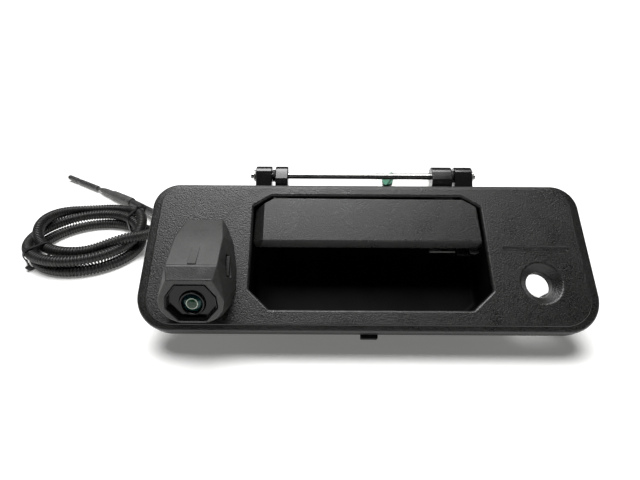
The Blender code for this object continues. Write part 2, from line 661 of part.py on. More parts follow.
def smooth_route(points, spacing):
    """Points about spacing apart, read from a smooth curve through the route's own points."""
    knots = [Vector(point) for point in mm(points)]
    padded = [knots[0] * 2 - knots[1]] + knots + [knots[-1] * 2 - knots[-2]]
    fine = []
    parts = 24
    for a, b, c, d in zip(padded, padded[1:], padded[2:], padded[3:]):
        for i in range(parts):
            t = i / parts
            fine.append(0.5 * (2 * b + (c - a) * t + (2 * a - 5 * b + 4 * c - d) * t * t
                               + (3 * b - a - 3 * c + d) * t * t * t))
    fine.append(knots[-1])
    route = [fine[0]]
    travelled = 0.0
    for before, here in zip(fine, fine[1:]):
        travelled += (here - before).length
        if travelled >= spacing:
            route.append(here)
            travelled = 0.0
    if travelled > spacing / 2:
        route.append(fine[-1])
    else:
        route[-1] = fine[-1]
    return route


# From the gland, down to the table and left to the coil; the first point is set by the gland's end.
LEAD_ROUTE = [(-118.5, -4.0, 40.6), (-118.5, 11.0, 38.5), (-119.8, 25.0, 34.8), (-123.5, 37.0, 28.6),
              (-130.0, 47.5, 21.0), (-139.5, 55.5, 13.4), (-150.5, 60.8, 8.2), (-163.0, 65.0, 5.8),
              (-174.5, 70.5, 5.4), (-184.5, 79.0, 5.4), (-191.5, 90.5, 5.4), (-195.0, 103.0, 5.4)]
# From the coil's far side, over the lead and back to the sleeve
TAIL_ROUTE = [(-203.4, 138.6, 16.0), (-208.6, 147.2, 14.6), (-215.4, 157.6, 12.2), (-223.6, 168.2, 9.6),
              (-233.6, 179.4, 7.6), (-244.0, 189.8, 6.8), (-254.6, 199.0, 6.6)]
SLEEVE_END = (-312.0, 245.0, 5.0)
CONNECTOR_END = (-370.0, 288.0, 4.4)


def build_cord():
    spacing = 2.2 * CORD_RADIUS
    tube("cord_lead", smooth_route(LEAD_ROUTE, spacing), CORD_RADIUS, "conduit", None, 2)
    tube("cord_tail", smooth_route(TAIL_ROUTE, spacing), JACKET_RADIUS, "rubber", None, 2)
    middle = (COIL_INNER + COIL_OUTER) / 2
    half_width = (COIL_OUTER - COIL_INNER) / 2
    half_height = (COIL_TOP - COIL_LOW) / 2
    level = (COIL_TOP + COIL_LOW) / 2
    squareness = 0.62
    profile = []
    for i in range(16):
        angle = 2 * math.pi * i / 16
        across = math.copysign(abs(math.cos(angle)) ** squareness, math.cos(angle))
        up = math.copysign(abs(math.sin(angle)) ** squareness, math.sin(angle))
        profile.append((middle + half_width * across, level + half_height * up))
    coil = turned(profile, 48, closed=True)
    bmesh.ops.translate(coil, verts=coil.verts, vec=(COIL_X, COIL_Y, 0.0))
    add("cord_coil", coil, "conduit", None)
    for place, angle in (("front", 217.0), ("back", 50.0)):
        build_tie(place, math.radians(angle))
    build_sleeve()


def build_tie(place, angle):
    """A strap round the coil's section, with its lock outside and a cut end."""
    inner = GAP + 0.1 * MM
    outer = inner + TIE_THICKNESS
    inside = rectangle(COIL_INNER - inner, COIL_OUTER + inner, COIL_LOW - inner, COIL_TOP + inner)
    outside = rectangle(COIL_INNER - outer, COIL_OUTER + outer, COIL_LOW - outer, COIL_TOP + outer)
    half = 1.6 * MM
    turn = Matrix.Translation((COIL_X, COIL_Y, 0.0)) @ Matrix.Rotation(angle, 4, "Z")
    strap = prism([(x, z) for x, z in outside], -half, half, "y")
    bmesh.ops.transform(strap, matrix=turn, verts=strap.verts)
    tie = add(f"cable_tie_{place}", strap, "smooth_black", None)
    hole = prism(inside, -2 * half, 2 * half, "y")
    bmesh.ops.transform(hole, matrix=turn, verts=hole.verts)
    cut(tie, hole)
    lock = prism(rectangle(COIL_OUTER + outer - 0.3 * MM, COIL_OUTER + outer + 4.0 * MM, 4.0 * MM, 8.4 * MM),
                 -1.5 * half, 1.5 * half, "y")
    bmesh.ops.transform(lock, matrix=turn, verts=lock.verts)
    join(tie, lock)


def build_sleeve():
    start = Vector(mm([TAIL_ROUTE[-1]])[0])
    end = Vector(mm([SLEEVE_END])[0])
    axis = (end - start).normalized()
    length = (end - start).length
    profile = [(5.6 * MM, GAP), (5.8 * MM, 4.0 * MM), (5.6 * MM, length * 0.50), (4.3 * MM, length * 0.60),
               (3.9 * MM, length * 0.88), (3.1 * MM, length)]
    add("heat_shrink_sleeve", lay_along(turned(profile, 20), start, axis), "shrink_grey", None)
    tip = Vector(mm([CONNECTOR_END])[0])
    axis = (tip - end).normalized()
    reach = (tip - end).length
    plug = [(1.9 * MM, GAP), (1.9 * MM, 3.6 * MM), (3.2 * MM, 4.2 * MM), (3.2 * MM, reach - 1.0 * MM),
            (2.6 * MM, reach)]
    add("cord_connector", lay_along(turned(plug, 20), end, axis), "rubber", None)


def build():
    for old in list(bpy.data.objects):
        bpy.data.objects.remove(old, do_unlink=True)
    face = empty("face_frame", None, (0.0, FACE_Y, FACE_Z), -LEAN)
    lens = empty("lens_frame", face, (POD_U, LENS_W, LENS_V), LENS_TURN)
    build_bezel(face)
    build_pocket(face)
    build_hinge(face)
    build_handle(face)
    build_release(face)
    build_lock(face)
    build_pod(face, lens)
    build_camera(lens)
    build_pod_screws(face)
    build_cord()


build()
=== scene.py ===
"""Looks of a pickup tailgate handle with a built-in backup camera.

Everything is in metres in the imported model's frame. Pieces of the handle are drawn in the face frame,
where x runs to the right along the bezel's face, y into the tailgate and z up along the face, and are
then moved to their place. Pieces of the camera are drawn about the lens axis, which is z there.
"""

import json
import math

import bmesh
import bpy
from mathutils import Matrix, Vector, noise

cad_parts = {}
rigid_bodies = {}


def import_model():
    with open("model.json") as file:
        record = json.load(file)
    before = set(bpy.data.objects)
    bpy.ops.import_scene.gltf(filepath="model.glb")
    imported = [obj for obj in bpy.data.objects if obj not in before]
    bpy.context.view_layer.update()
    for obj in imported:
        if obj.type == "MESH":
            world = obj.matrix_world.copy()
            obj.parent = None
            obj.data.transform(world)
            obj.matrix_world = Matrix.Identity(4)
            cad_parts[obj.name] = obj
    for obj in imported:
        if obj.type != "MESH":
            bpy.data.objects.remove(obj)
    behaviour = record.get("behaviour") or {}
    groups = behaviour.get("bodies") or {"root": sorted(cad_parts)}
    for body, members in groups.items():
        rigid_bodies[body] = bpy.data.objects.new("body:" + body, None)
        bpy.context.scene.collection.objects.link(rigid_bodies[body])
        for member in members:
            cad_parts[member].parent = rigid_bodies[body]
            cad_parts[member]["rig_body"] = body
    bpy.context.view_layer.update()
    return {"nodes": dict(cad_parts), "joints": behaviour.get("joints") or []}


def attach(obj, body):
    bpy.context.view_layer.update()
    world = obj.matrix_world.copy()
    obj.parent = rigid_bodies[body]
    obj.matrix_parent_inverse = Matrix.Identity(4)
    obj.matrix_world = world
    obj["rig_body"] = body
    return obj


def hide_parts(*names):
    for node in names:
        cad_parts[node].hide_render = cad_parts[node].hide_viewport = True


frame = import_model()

MM = 0.001
NODES = frame["nodes"]
JOINTS = {joint["name"]: joint for joint in frame["joints"]}

# The face leans back, and the hinge axis places it.
LEAN = math.radians(48.0)
HINGE_W = 16.0 * MM
HINGE_V = 72.5 * MM
FACE = (Matrix.Translation(JOINTS["handle_pull"]["pos_m"]) @ Matrix.Rotation(-LEAN, 4, "X")
        @ Matrix.Translation((0.0, -HINGE_W, -HINGE_V)))

# The camera's lens axis, in the face frame
POD_U = -118.5 * MM
LENS_W = -16.23 * MM
LENS_V = -40.0 * MM
LENS_TURN = math.radians(130.0)
LENS_IN_FACE = Matrix.Translation((POD_U, LENS_W, LENS_V)) @ Matrix.Rotation(LENS_TURN, 4, "X")
LENS = FACE @ LENS_IN_FACE


# ---------------------------------------------------------------------------------- camera

def build_view():
    """The camera looks down at the face from a little left of its middle."""
    face_centre = FACE.translation
    data = bpy.data.cameras.new("view")
    data.sensor_width = 36.0
    data.lens = 27.0
    data.clip_start = 0.01
    data.clip_end = 50.0
    camera = bpy.data.objects.new("view", data)
    bpy.context.scene.collection.objects.link(camera)
    down = math.radians(62.0)
    roll = math.radians(0.33)
    turn = Matrix.Rotation(down, 4, "X") @ Matrix.Rotation(roll, 4, "Z")
    from_face = Vector((-0.034, -0.2984, 0.1717))
    camera.matrix_world = Matrix.Translation(face_centre + from_face) @ turn
    bpy.context.scene.camera = camera


# ---------------------------------------------------------------------------------- shapes

def mm(points):
    """A list of points given in millimetres, in metres."""
    return [tuple(value * MM for value in point) for point in points]


def arc(centre, radius, start, end, steps):
    """Points of a circular arc, from angle start to end in degrees."""
    points = []
    for i in range(steps + 1):
        angle = math.radians(start + (end - start) * i / steps)
        points.append((centre[0] + radius * math.cos(angle), centre[1] + radius * math.sin(angle)))
    return points


def circle(centre, radius, steps=64):
    return arc(centre, radius, 0, 360 - 360 / steps, steps - 1)


def rectangle(a_low, a_high, b_low, b_high):
    return [(a_low, b_low), (a_high, b_low), (a_high, b_high), (a_low, b_high)]


def offset(outline, distance):
    """The convex, anticlockwise outline, moved outwards by distance."""
    grown = []
    count = len(outline)
    for i in range(count):
        here = Vector(outline[i])
        first = (here - Vector(outline[i - 1])).normalized()
        second = (Vector(outline[(i + 1) % count]) - here).normalized()
        normal_1 = Vector((first.y, -first.x))
        normal_2 = Vector((second.y, -second.x))
        middle = (normal_1 + normal_2) / (1.0 + normal_1.dot(normal_2))
        grown.append(tuple(here + middle * distance))
    return grown


def rounded(outline, radius, steps=6, closed=True):
    """The outline with an arc of the given radius, or radii, at each corner."""
    count = len(outline)
    radii = radius if isinstance(radius, (list, tuple)) else [radius] * count
    points = []
    for i in range(count):
        here = Vector(outline[i])
        if not closed and i in (0, count - 1):
            points.append(tuple(here))
            continue
        back = Vector(outline[i - 1]) - here
        ahead = Vector(outline[(i + 1) % count]) - here
        half = back.angle(ahead) / 2
        if radii[i] < 1e-7 or half > math.radians(89.5):
            points.append(tuple(here))
            continue
        reach = min(radii[i] / math.tan(half), 0.49 * back.length, 0.49 * ahead.length)
        real = reach * math.tan(half)
        centre = here + (back.normalized() + ahead.normalized()).normalized() * (real / math.sin(half))
        start = here + back.normalized() * reach - centre
        end = here + ahead.normalized() * reach - centre
        turn = start.angle_signed(end)
        for k in range(steps + 1):
            angle = -turn * k / steps
            spun = Vector((start.x * math.cos(angle) - start.y * math.sin(angle),
                           start.x * math.sin(angle) + start.y * math.cos(angle)))
            points.append(tuple(centre + spun))
    return points


def hull_outline(points):
    """The convex outline round a set of flat points, anticlockwise."""
    points = sorted(set(points))

    def half(sequence):
        chain = []
        for point in sequence:
            while len(chain) > 1:
                (ax, ay), (bx, by) = chain[-2], chain[-1]
                if (bx - ax) * (point[1] - ay) - (by - ay) * (point[0] - ax) > 0:
                    break
                chain.pop()
            chain.append(point)
        return chain[:-1]

    return half(points) + half(reversed(points))


def on_axis(axis, a, b, level):
    """The point (a, b) of an outline at a level along the axis that the outline is square to."""
    if axis == "x":
        return (level, a, b)
    if axis == "y":
        return (a, level, b)
    return (a, b, level)


def loft(rings, closed=False):
    """A body through rings of equal point count, capped at both ends or joined into a ring."""
    mesh = bmesh.new()
    rows = [[mesh.verts.new(point) for point in ring] for ring in rings]
    pairs = list(zip(rows, rows[1:]))
    if closed:
        pairs.append((rows[-1], rows[0]))
    for low, high in pairs:
        for i in range(len(low)):
            j = (i + 1) % len(low)
            mesh.faces.new((low[i], low[j], high[j], high[i]))
    if not closed:
        mesh.faces.new(rows[0])
        mesh.faces.new(rows[-1])
    return mesh


def prism(outline, low, high, axis):
    return loft([[on_axis(axis, a, b, level) for a, b in outline] for level in (low, high)])


def soft_prism(outline, low, high, axis, edge, steps=3):
    """A prism of a convex outline whose end faces have round edges."""
    rings = []
    for i in range(steps + 1):
        angle = math.pi / 2 * i / steps
        rings.append((edge * (1 - math.sin(angle)), low + edge * (1 - math.cos(angle))))
    for i in range(steps + 1):
        angle = math.pi / 2 * (1 - i / steps)
        rings.append((edge * (1 - math.sin(angle)), high - edge * (1 - math.cos(angle))))
    return loft([[on_axis(axis, a, b, level) for a, b in offset(outline, -inset)] for inset, level in rings])


def turned(profile, segments, closed=False):
    """A body turned about local Z from (radius, height) points, bottom to top."""
    mesh = bmesh.new()
    rings = []
    for radius, height in profile:
        if radius < 1e-9:
            rings.append([mesh.verts.new((0, 0, height))])
            continue
        ring = []
        for i in range(segments):
            angle = 2 * math.pi * i / segments
            ring.append(mesh.verts.new((radius * math.cos(angle), radius * math.sin(angle), height)))
        rings.append(ring)
    pairs = list(zip(rings, rings[1:]))
    if closed:
        pairs.append((rings[-1], rings[0]))
    for low, high in pairs:
        for i in range(segments):
            j = (i + 1) % segments
            if len(low) == 1:
                mesh.faces.new((low[0], high[j], high[i]))
            elif len(high) == 1:
                mesh.faces.new((low[i], low[j], high[0]))
            else:
                mesh.faces.new((low[i], low[j], high[j], high[i]))
    if not closed:
        for ring in (rings[0], rings[-1]):
            if len(ring) > 1:
                mesh.faces.new(ring)
    return mesh


def hull_solid(points, flat_angle=0.5):
    """The convex body round a set of points, with faces flatter than an angle in degrees merged."""
    mesh = bmesh.new()
    for point in points:
        mesh.verts.new(point)
    hull = bmesh.ops.convex_hull(mesh, input=mesh.verts)
    loose = [item for item in hull["geom_interior"] if isinstance(item, bmesh.types.BMVert)]
    bmesh.ops.delete(mesh, geom=loose, context="VERTS")
    bmesh.ops.dissolve_limit(mesh, angle_limit=math.radians(flat_angle), verts=mesh.verts, edges=mesh.edges)
    return mesh


def moved(mesh, matrix):
    bmesh.ops.transform(mesh, matrix=matrix, verts=mesh.verts)
    return mesh


def along(start, axis):
    """The frame whose Z runs along axis from start."""
    turn = Vector((0, 0, 1)).rotation_difference(Vector(axis)).to_matrix().to_4x4()
    return Matrix.Translation(start) @ turn


# ---------------------------------------------------------------------------------- pieces

def plain_object(name, mesh):
    bmesh.ops.recalc_face_normals(mesh, faces=mesh.faces)
    data = bpy.data.meshes.new(name)
    mesh.to_mesh(data)
    mesh.free()
    made = bpy.data.objects.new(name, data)
    bpy.context.scene.collection.objects.link(made)
    return made


def settle(piece):
    """Put the result of the piece's modifiers into its mesh."""
    bpy.context.view_layer.update()
    shown = piece.evaluated_get(bpy.context.evaluated_depsgraph_get())
    data = bpy.data.meshes.new_from_object(shown)
    old = piece.data
    piece.modifiers.clear()
    piece.data = data
    data.name = piece.name
    bpy.data.meshes.remove(old)


def combine(piece, mesh, operation):
    tool = plain_object(f"{piece.name}_tool", mesh)
    change = piece.modifiers.new("change", "BOOLEAN")
    change.operation = operation
    change.solver = "EXACT"
    change.object = tool
    settle(piece)
    bpy.data.objects.remove(tool)


def cut(piece, mesh):
    combine(piece, mesh, "DIFFERENCE")


def join(piece, mesh):
    combine(piece, mesh, "UNION")


def cut_box(piece, a_low, a_high, b_low, b_high, start, end, axis="y"):
    """Cut away a box: its rectangle, and where it starts and ends along the axis."""
    cut(piece, prism(rectangle(a_low, a_high, b_low, b_high), start, end, axis))


def soften(piece, width, segments, angle):
    """Round the piece's sharp edges, keeping its flat faces flat in the light."""
    edge = piece.modifiers.new("edge", "BEVEL")
    edge.width = width
    edge.segments = segments
    edge.limit_method = "ANGLE"
    edge.angle_limit = math.radians(angle)
    edge.harden_normals = False
    edge.use_clamp_overlap = True
    settle(piece)


def finish_piece(piece, finish, body, replaced=(), place=None, sharp=35.0):
    """Shade the piece, put it in its place, and tell the frame what it is."""
    if place is not None:
        piece.data.transform(place)
    piece.data.shade_smooth()
    piece.data.set_sharp_from_angle(angle=math.radians(sharp))
    weigh = piece.modifiers.new("weigh", "WEIGHTED_NORMAL")
    weigh.keep_sharp = True
    settle(piece)
    piece.data.materials.clear()
    piece.data.materials.append(finish)
    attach(piece, body)
    if replaced:
        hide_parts(*replaced)
    return piece


# ---------------------------------------------------------------------------------- materials

MADE = {}


def shader_node(tree, kind, inputs):
    """A new node, with each of its inputs linked to a socket or set to a value."""
    made = tree.nodes.new(kind)
    for name, value in inputs.items():
        if isinstance(value, bpy.types.NodeSocket):
            tree.links.new(value, made.inputs[name])
        else:
            made.inputs[name].default_value = value
    return made


def map_range(tree, value, start, end, low, high):
    """The value, spread so that start becomes low and end becomes high."""
    spread = shader_node(tree, "ShaderNodeMapRange", {"Value": value, "From Min": start, "From Max": end,
                                                      "To Min": low, "To Max": high})
    return spread.outputs["Result"]


def math_node(tree, operation, first, second):
    """The two values put through a math operation."""
    made = shader_node(tree, "ShaderNodeMath", {0: first, 1: second})
    made.operation = operation
    return made.outputs["Value"]


class Finish:
    """A Principled material built up from procedural nodes in the piece's own coordinates."""

    def __init__(self, name, colour, roughness, metallic=0.0, specular=0.5):
        self.material = bpy.data.materials.new(name)
        self.material.use_nodes = True
        self.tree = self.material.node_tree
        self.shader = self.tree.nodes["Principled BSDF"]
        self.place = self.tree.nodes.new("ShaderNodeTexCoord").outputs["Object"]
        self.height = None
        self.set("Base Color", (*colour, 1.0))
        self.set("Roughness", roughness)
        self.set("Metallic", metallic)
        self.set("Specular IOR Level", specular)

    def set(self, socket, value):
        self.shader.inputs[socket].default_value = value
        return self

    def pattern(self, size, detail, stretch=(1.0, 1.0, 1.0), distortion=0.0):
        """Noise whose features are about size metres across."""
        scale = shader_node(self.tree, "ShaderNodeMapping",
                            {"Vector": self.place, "Scale": tuple(1.0 / (size * value) for value in stretch)})
        cloud = shader_node(self.tree, "ShaderNodeTexNoise",
                            {"Vector": scale.outputs["Vector"], "Scale": 1.0, "Detail": detail,
                             "Roughness": 0.55, "Distortion": distortion})
        return cloud.outputs["Fac"]

    def ranged(self, value, low, high, start=0.3, end=0.7):
        return map_range(self.tree, value, start, end, low, high)

    def both(self, first, second):
        return math_node(self.tree, "ADD", first, second)

    def roughen(self, value):
        self.tree.links.new(value, self.shader.inputs["Roughness"])
        return self

    def colours(self, value, low, high, start=0.35, end=0.65):
        """Colour from low to high as value goes from start to end."""
        ramp = shader_node(self.tree, "ShaderNodeValToRGB", {"Fac": value})
        for element, position, colour in zip(ramp.color_ramp.elements, (start, end), (low, high)):
            element.position = position
            element.color = (*colour, 1.0)
        self.tree.links.new(ramp.outputs["Color"], self.shader.inputs["Base Color"])
        return self

    def relief(self, value, depth):
        """Bumps of the given depth, on top of those there already."""
        inputs = {"Height": value, "Strength": 1.0, "Distance": depth}
        if self.height is not None:
            inputs["Normal"] = self.height
        self.height = shader_node(self.tree, "ShaderNodeBump", inputs).outputs["Normal"]
        self.tree.links.new(self.height, self.shader.inputs["Normal"])
        return self


def tint(colour, factor):
    return tuple(min(1.0, value * factor) for value in colour)


def grey(value):
    return (value, value, value)


def kept(build):
    """Each finish is made once and shared."""
    def once():
        if build.__name__ not in MADE:
            MADE[build.__name__] = build().material
        return MADE[build.__name__]
    return once


def grained(name, colour, low, high, grain, depth, mottle):
    """Moulded plastic with a fine grain and large soft patches of more and less sheen."""
    made = Finish(name, colour, (low + high) / 2)
    speck = made.pattern(grain, 2.0)
    sheen = made.ranged(made.pattern(mottle, 3.0, distortion=0.6), low, high)
    made.roughen(made.both(sheen, made.ranged(speck, -0.08, 0.08)))
    made.colours(speck, tint(colour, 0.45), tint(colour, 1.7))
    made.relief(made.pattern(4.5 * grain, 2.0), depth * 0.22)
    return made.relief(speck, depth)


def glossy(name, colour, low, high, coat):
    """Smooth dark plastic with faint flow marks and dust."""
    made = Finish(name, colour, low)
    smear = made.pattern(6 * MM, 4.0, stretch=(2.5, 1.0, 1.0))
    dust = made.pattern(0.35 * MM, 1.0)
    made.roughen(made.both(made.ranged(smear, low, high), made.ranged(dust, 0.0, 0.16, 0.66, 0.80)))
    made.colours(dust, colour, tint(colour, 2.2), 0.6, 0.8)
    made.relief(made.pattern(3 * MM, 2.0), 0.02 * MM)
    return made.set("Coat Weight", coat).set("Coat Roughness", 0.10)


def metal(name, colour, low, high, stretch, blotch):
    """Plated metal with drawn scratches and cloudy plating."""
    made = Finish(name, colour, (low + high) / 2, metallic=1.0)
    scratch = made.pattern(0.25 * MM, 3.0, stretch=stretch)
    cloud = made.pattern(blotch, 3.0)
    made.roughen(made.both(made.ranged(cloud, low, high), made.ranged(scratch, -0.06, 0.08)))
    made.colours(cloud, tint(colour, 0.93), tint(colour, 1.05))
    return made.relief(scratch, 0.012 * MM)


def dull(name, colour, roughness, wear, sheen, cloud, shades, bumps):
    """Rubber or soft plastic: patterns (size, detail) of wear and cloud, and bumps with a depth too."""
    made = Finish(name, colour, roughness)
    made.roughen(made.ranged(made.pattern(*wear), *sheen))
    made.colours(made.pattern(*cloud), *shades)
    size, detail, depth = bumps
    return made.relief(made.pattern(size, detail), depth)


@kept
def bezel_plastic():
    return grained("bezel_grain", (0.011, 0.011, 0.0105), 0.29, 0.43, 0.9 * MM, 0.26 * MM, 26 * MM)


@kept
def paddle_plastic():
    return grained("paddle_grain", (0.011, 0.011, 0.0105), 0.28, 0.40, 0.8 * MM, 0.15 * MM, 24 * MM)


@kept
def pod_plastic():
    return grained("pod_satin", (0.030, 0.030, 0.029), 0.40, 0.56, 0.5 * MM, 0.035 * MM, 18 * MM)


@kept
def lip_plastic():
    made = grained("pod_lip_grain", (0.012, 0.012, 0.0115), 0.46, 0.60, 1.0 * MM, 0.26 * MM, 12 * MM)
    return made.set("Specular IOR Level", 0.3)


@kept
def pocket_plastic_painted_shade():
    # Black plastic, darker and duller than the bezel's: partly its own colour, partly painted shade for the
    # inside of the deep pocket.
    made = grained("pocket_black_painted_shade", (0.003, 0.003, 0.0032), 0.52, 0.66, 0.8 * MM, 0.05 * MM, 30 * MM)
    return made.set("Specular IOR Level", 0.15)


@kept
def bracket_plastic():
    return grained("bracket_black", grey(0.012), 0.34, 0.50, 0.9 * MM, 0.05 * MM, 20 * MM)


@kept
def knuckle_plastic():
    return glossy("knuckle_gloss", grey(0.010), 0.16, 0.32, 0.25)


@kept
def hood_plastic():
    return glossy("hood_gloss", grey(0.004), 0.08, 0.20, 0.12).set("Specular IOR Level", 0.22)


@kept
def barrel_plastic():
    return glossy("barrel_black", grey(0.008), 0.22, 0.36, 0.1)


@kept
def clip_green():
    made = glossy("clip_green", (0.010, 0.21, 0.11), 0.28, 0.42, 0.1)
    return made.set("Subsurface Weight", 0.15).set("Subsurface Scale", 0.002)


@kept
def rod_steel():
    return metal("rod_steel", (0.60, 0.60, 0.59), 0.22, 0.27, (0.02, 1.0, 1.0), 40 * MM)


@kept
def pin_steel():
    return metal("pin_steel", (0.50, 0.50, 0.49), 0.24, 0.40, (1.0, 1.0, 1.0), 3 * MM)


@kept
def zinc_plate():
    return metal("zinc_plate", (0.60, 0.62, 0.59), 0.26, 0.46, (8.0, 1.0, 1.0), 6 * MM)


@kept
def screw_zinc():
    return metal("screw_zinc", (0.58, 0.57, 0.52), 0.30, 0.46, (1.0, 1.0, 1.0), 2 * MM)


@kept
def conduit_plastic():
    return dull("conduit_polyethylene", grey(0.010), 0.4, (2.2 * MM, 4.0), (0.34, 0.56),
                (9 * MM, 4.0), (grey(0.008), (0.020, 0.019, 0.018)), (0.5 * MM, 3.0, 0.03 * MM))


@kept
def jacket_rubber():
    return dull("jacket_pvc", grey(0.016), 0.5, (3 * MM, 4.0), (0.42, 0.60),
                (7 * MM, 3.0), (grey(0.013), (0.028, 0.028, 0.027)), (0.4 * MM, 2.0, 0.03 * MM))


@kept
def seal_rubber():
    return dull("seal_rubber", grey(0.014), 0.65, (1.5 * MM, 4.0), (0.55, 0.80),
                (0.8 * MM, 2.0), (grey(0.009), (0.024, 0.023, 0.022)), (0.4 * MM, 2.0, 0.04 * MM))


@kept
def plug_rubber():
    return dull("plug_pvc", grey(0.040), 0.5, (2 * MM, 3.0), (0.40, 0.60),
                (4 * MM, 3.0), (grey(0.030), (0.055, 0.055, 0.054)), (0.5 * MM, 2.0, 0.04 * MM))


@kept
def tie_nylon():
    return dull("tie_nylon", grey(0.013), 0.34, (1.5 * MM, 3.0), (0.26, 0.44),
                (4 * MM, 2.0), (grey(0.010), grey(0.022)), (0.6 * MM, 2.0, 0.03 * MM))


@kept
def circuit_board():
    return dull("circuit_board", (0.012, 0.11, 0.045), 0.35, (1.2 * MM, 2.0), (0.25, 0.45),
                (1.6 * MM, 0.0), ((0.008, 0.075, 0.03), (0.016, 0.16, 0.06), 0.48, 0.52),
                (1.6 * MM, 0.0, 0.03 * MM))


@kept
def shrink_tube():
    made = Finish("shrink_tube", (0.060, 0.060, 0.058), 0.55)
    lengthwise = made.pattern(1.2 * MM, 3.0, stretch=(3.0, 3.0, 1.0))
    made.roughen(made.ranged(lengthwise, 0.46, 0.64))
    made.colours(made.pattern(5 * MM, 4.0), (0.046, 0.046, 0.045), (0.075, 0.075, 0.073))
    made.relief(lengthwise, 0.08 * MM)
    return made.relief(made.pattern(0.3 * MM, 2.0), 0.02 * MM)


@kept
def lens_coating():
    made = Finish("lens_coating", (0.002, 0.010, 0.012), 0.05, specular=0.35)
    haze = made.pattern(3.2 * MM, 3.0)
    made.roughen(made.ranged(haze, 0.03, 0.10))
    made.colours(haze, (0.001, 0.006, 0.010), (0.004, 0.022, 0.020))
    made.relief(made.pattern(2.4 * MM, 1.0), 0.01 * MM)
    return made.set("Coat Weight", 0.15).set("Specular Tint", (0.55, 0.95, 0.90, 1.0))


@kept
def lens_heart():
    made = Finish("lens_heart", (0.003, 0.020, 0.012), 0.08, specular=0.3)
    haze = made.pattern(1.1 * MM, 3.0)
    made.roughen(made.ranged(haze, 0.04, 0.16))
    made.colours(haze, (0.003, 0.016, 0.006), (0.02, 0.07, 0.04), 0.42, 0.66)
    made.relief(made.pattern(1.6 * MM, 1.0), 0.01 * MM)
    return made.set("Coat Weight", 0.1)


@kept
def iris_metal():
    made = Finish("iris_bright", (0.42, 0.50, 0.40), 0.34, specular=0.6)
    spot = made.pattern(1.4 * MM, 2.0)
    made.roughen(made.ranged(spot, 0.26, 0.44))
    made.colours(spot, (0.28, 0.34, 0.26), (0.55, 0.62, 0.52))
    return made.relief(spot, 0.01 * MM)


# ---------------------------------------------------------------------------------- cord

CONDUIT_RADIUS = 5.0 * MM
JACKET_RADIUS = 4.3 * MM
RIB_PITCH = 2.8 * MM
SAMPLES_PER_RIB = 50
COIL_CENTRE = Vector((-261.0, 103.5)) * MM

# The route's points are those of the CAD model.
LEAD_ROUTE = [(-118.5, -4.0, 40.6), (-118.5, 11.0, 38.5), (-119.8, 25.0, 34.8), (-123.5, 37.0, 28.6),
              (-130.0, 47.5, 21.0), (-139.5, 55.5, 13.4), (-150.5, 60.8, 8.2), (-163.0, 65.0, 5.8),
              (-174.5, 70.5, 5.4), (-184.5, 79.0, 5.4), (-191.5, 90.5, 5.4), (-195.0, 103.0, 5.4)]
TAIL_ROUTE = [(-203.4, 138.6, 16.0), (-208.6, 147.2, 14.6), (-215.4, 157.6, 12.2), (-223.6, 168.2, 9.6),
              (-233.6, 179.4, 7.6), (-244.0, 189.8, 6.8), (-254.6, 199.0, 6.6)]
SLEEVE_END = Vector((-312.0, 245.0, 5.0)) * MM
CONNECTOR_END = Vector((-370.0, 288.0, 4.4)) * MM

# In degrees: from one point of the coil to the next, and its end
COIL_STEP = 2.5
COIL_END = 1111.4
# Each turn of the coil: centre, radius, and the lowest height that the ties hold it at
TURNS = (((-261.0, 103.5), 66.0, 5.2), ((-261.0, 97.0), 49.5, 5.2), ((-264.5, 98.5), 51.0, 5.2),
         ((-263.0, 113.0), 49.0, 15.6), ((-261.0, 103.5), 67.5, 16.0))
# From which angle to which angle the cord passes from one turn to the next
PASSES = ((2.0, 62.0), (330.0, 405.0), (665.0, 780.0), (1010.0, 1110.0))


def smooth_curve(knots):
    """Points of a smooth curve through the knots."""
    parts = 24
    padded = [knots[0] * 2 - knots[1]] + knots + [knots[-1] * 2 - knots[-2]]
    fine = []
    for a, b, c, d in zip(padded, padded[1:], padded[2:], padded[3:]):
        for i in range(parts):
            t = i / parts
            fine.append(0.5 * (2 * b + (c - a) * t + (2 * a - 5 * b + 4 * c - d) * t * t
                               + (3 * b - a - 3 * c + d) * t * t * t))
    fine.append(knots[-1])
    return fine


def eased(value, low, high):
    t = min(1.0, max(0.0, (value - low) / (high - low)))
    return t * t * (3 - 2 * t)


def turn_at(angle):
    """Centre, radius and lowest height of the coil at an angle that counts on through the turns."""
    parts = [Vector((x, y, radius, height)) for (x, y), radius, height in TURNS]
    value = parts[0]
    for following, (low, high) in zip(parts[1:], PASSES):
        value = value.lerp(following, eased(angle, low, high))
    return value * MM


def coil_points():
    """The coil's centreline: each turn rests on the turns below it."""
    spacing = 2 * CONDUIT_RADIUS + 0.2 * MM
    flat = []
    count = int(COIL_END / COIL_STEP)
    for i in range(1, count + 1):
        angle = COIL_END * i / count
        x, y, radius, lowest = turn_at(angle)
        turn = math.radians(angle)
        flat.append((Vector((x + radius * math.cos(turn), y + radius * math.sin(turn))), lowest))
    per_turn = round(360.0 / COIL_STEP)
    # How many points to either side, in a turn below, are looked at
    near = 14
    heights = []
    for i, (place, lowest) in enumerate(flat):
        height = lowest
        for back in (per_turn, 2 * per_turn, 3 * per_turn):
            for j in range(max(0, i - back - near), min(i, i - back + near + 1)):
                apart = (place - flat[j][0]).length
                if apart < spacing:
                    height = max(height, heights[j] + math.sqrt(spacing ** 2 - apart ** 2))
        heights.append(height)
    # How many points to either side the heights are averaged over
    window = 7
    smooth = []
    for i in range(len(heights)):
        span = heights[max(0, i - window):i + window + 1]
        smooth.append(sum(span) / len(span))
    return [Vector((place.x, place.y, height)) for (place, lowest), height in zip(flat, smooth)]


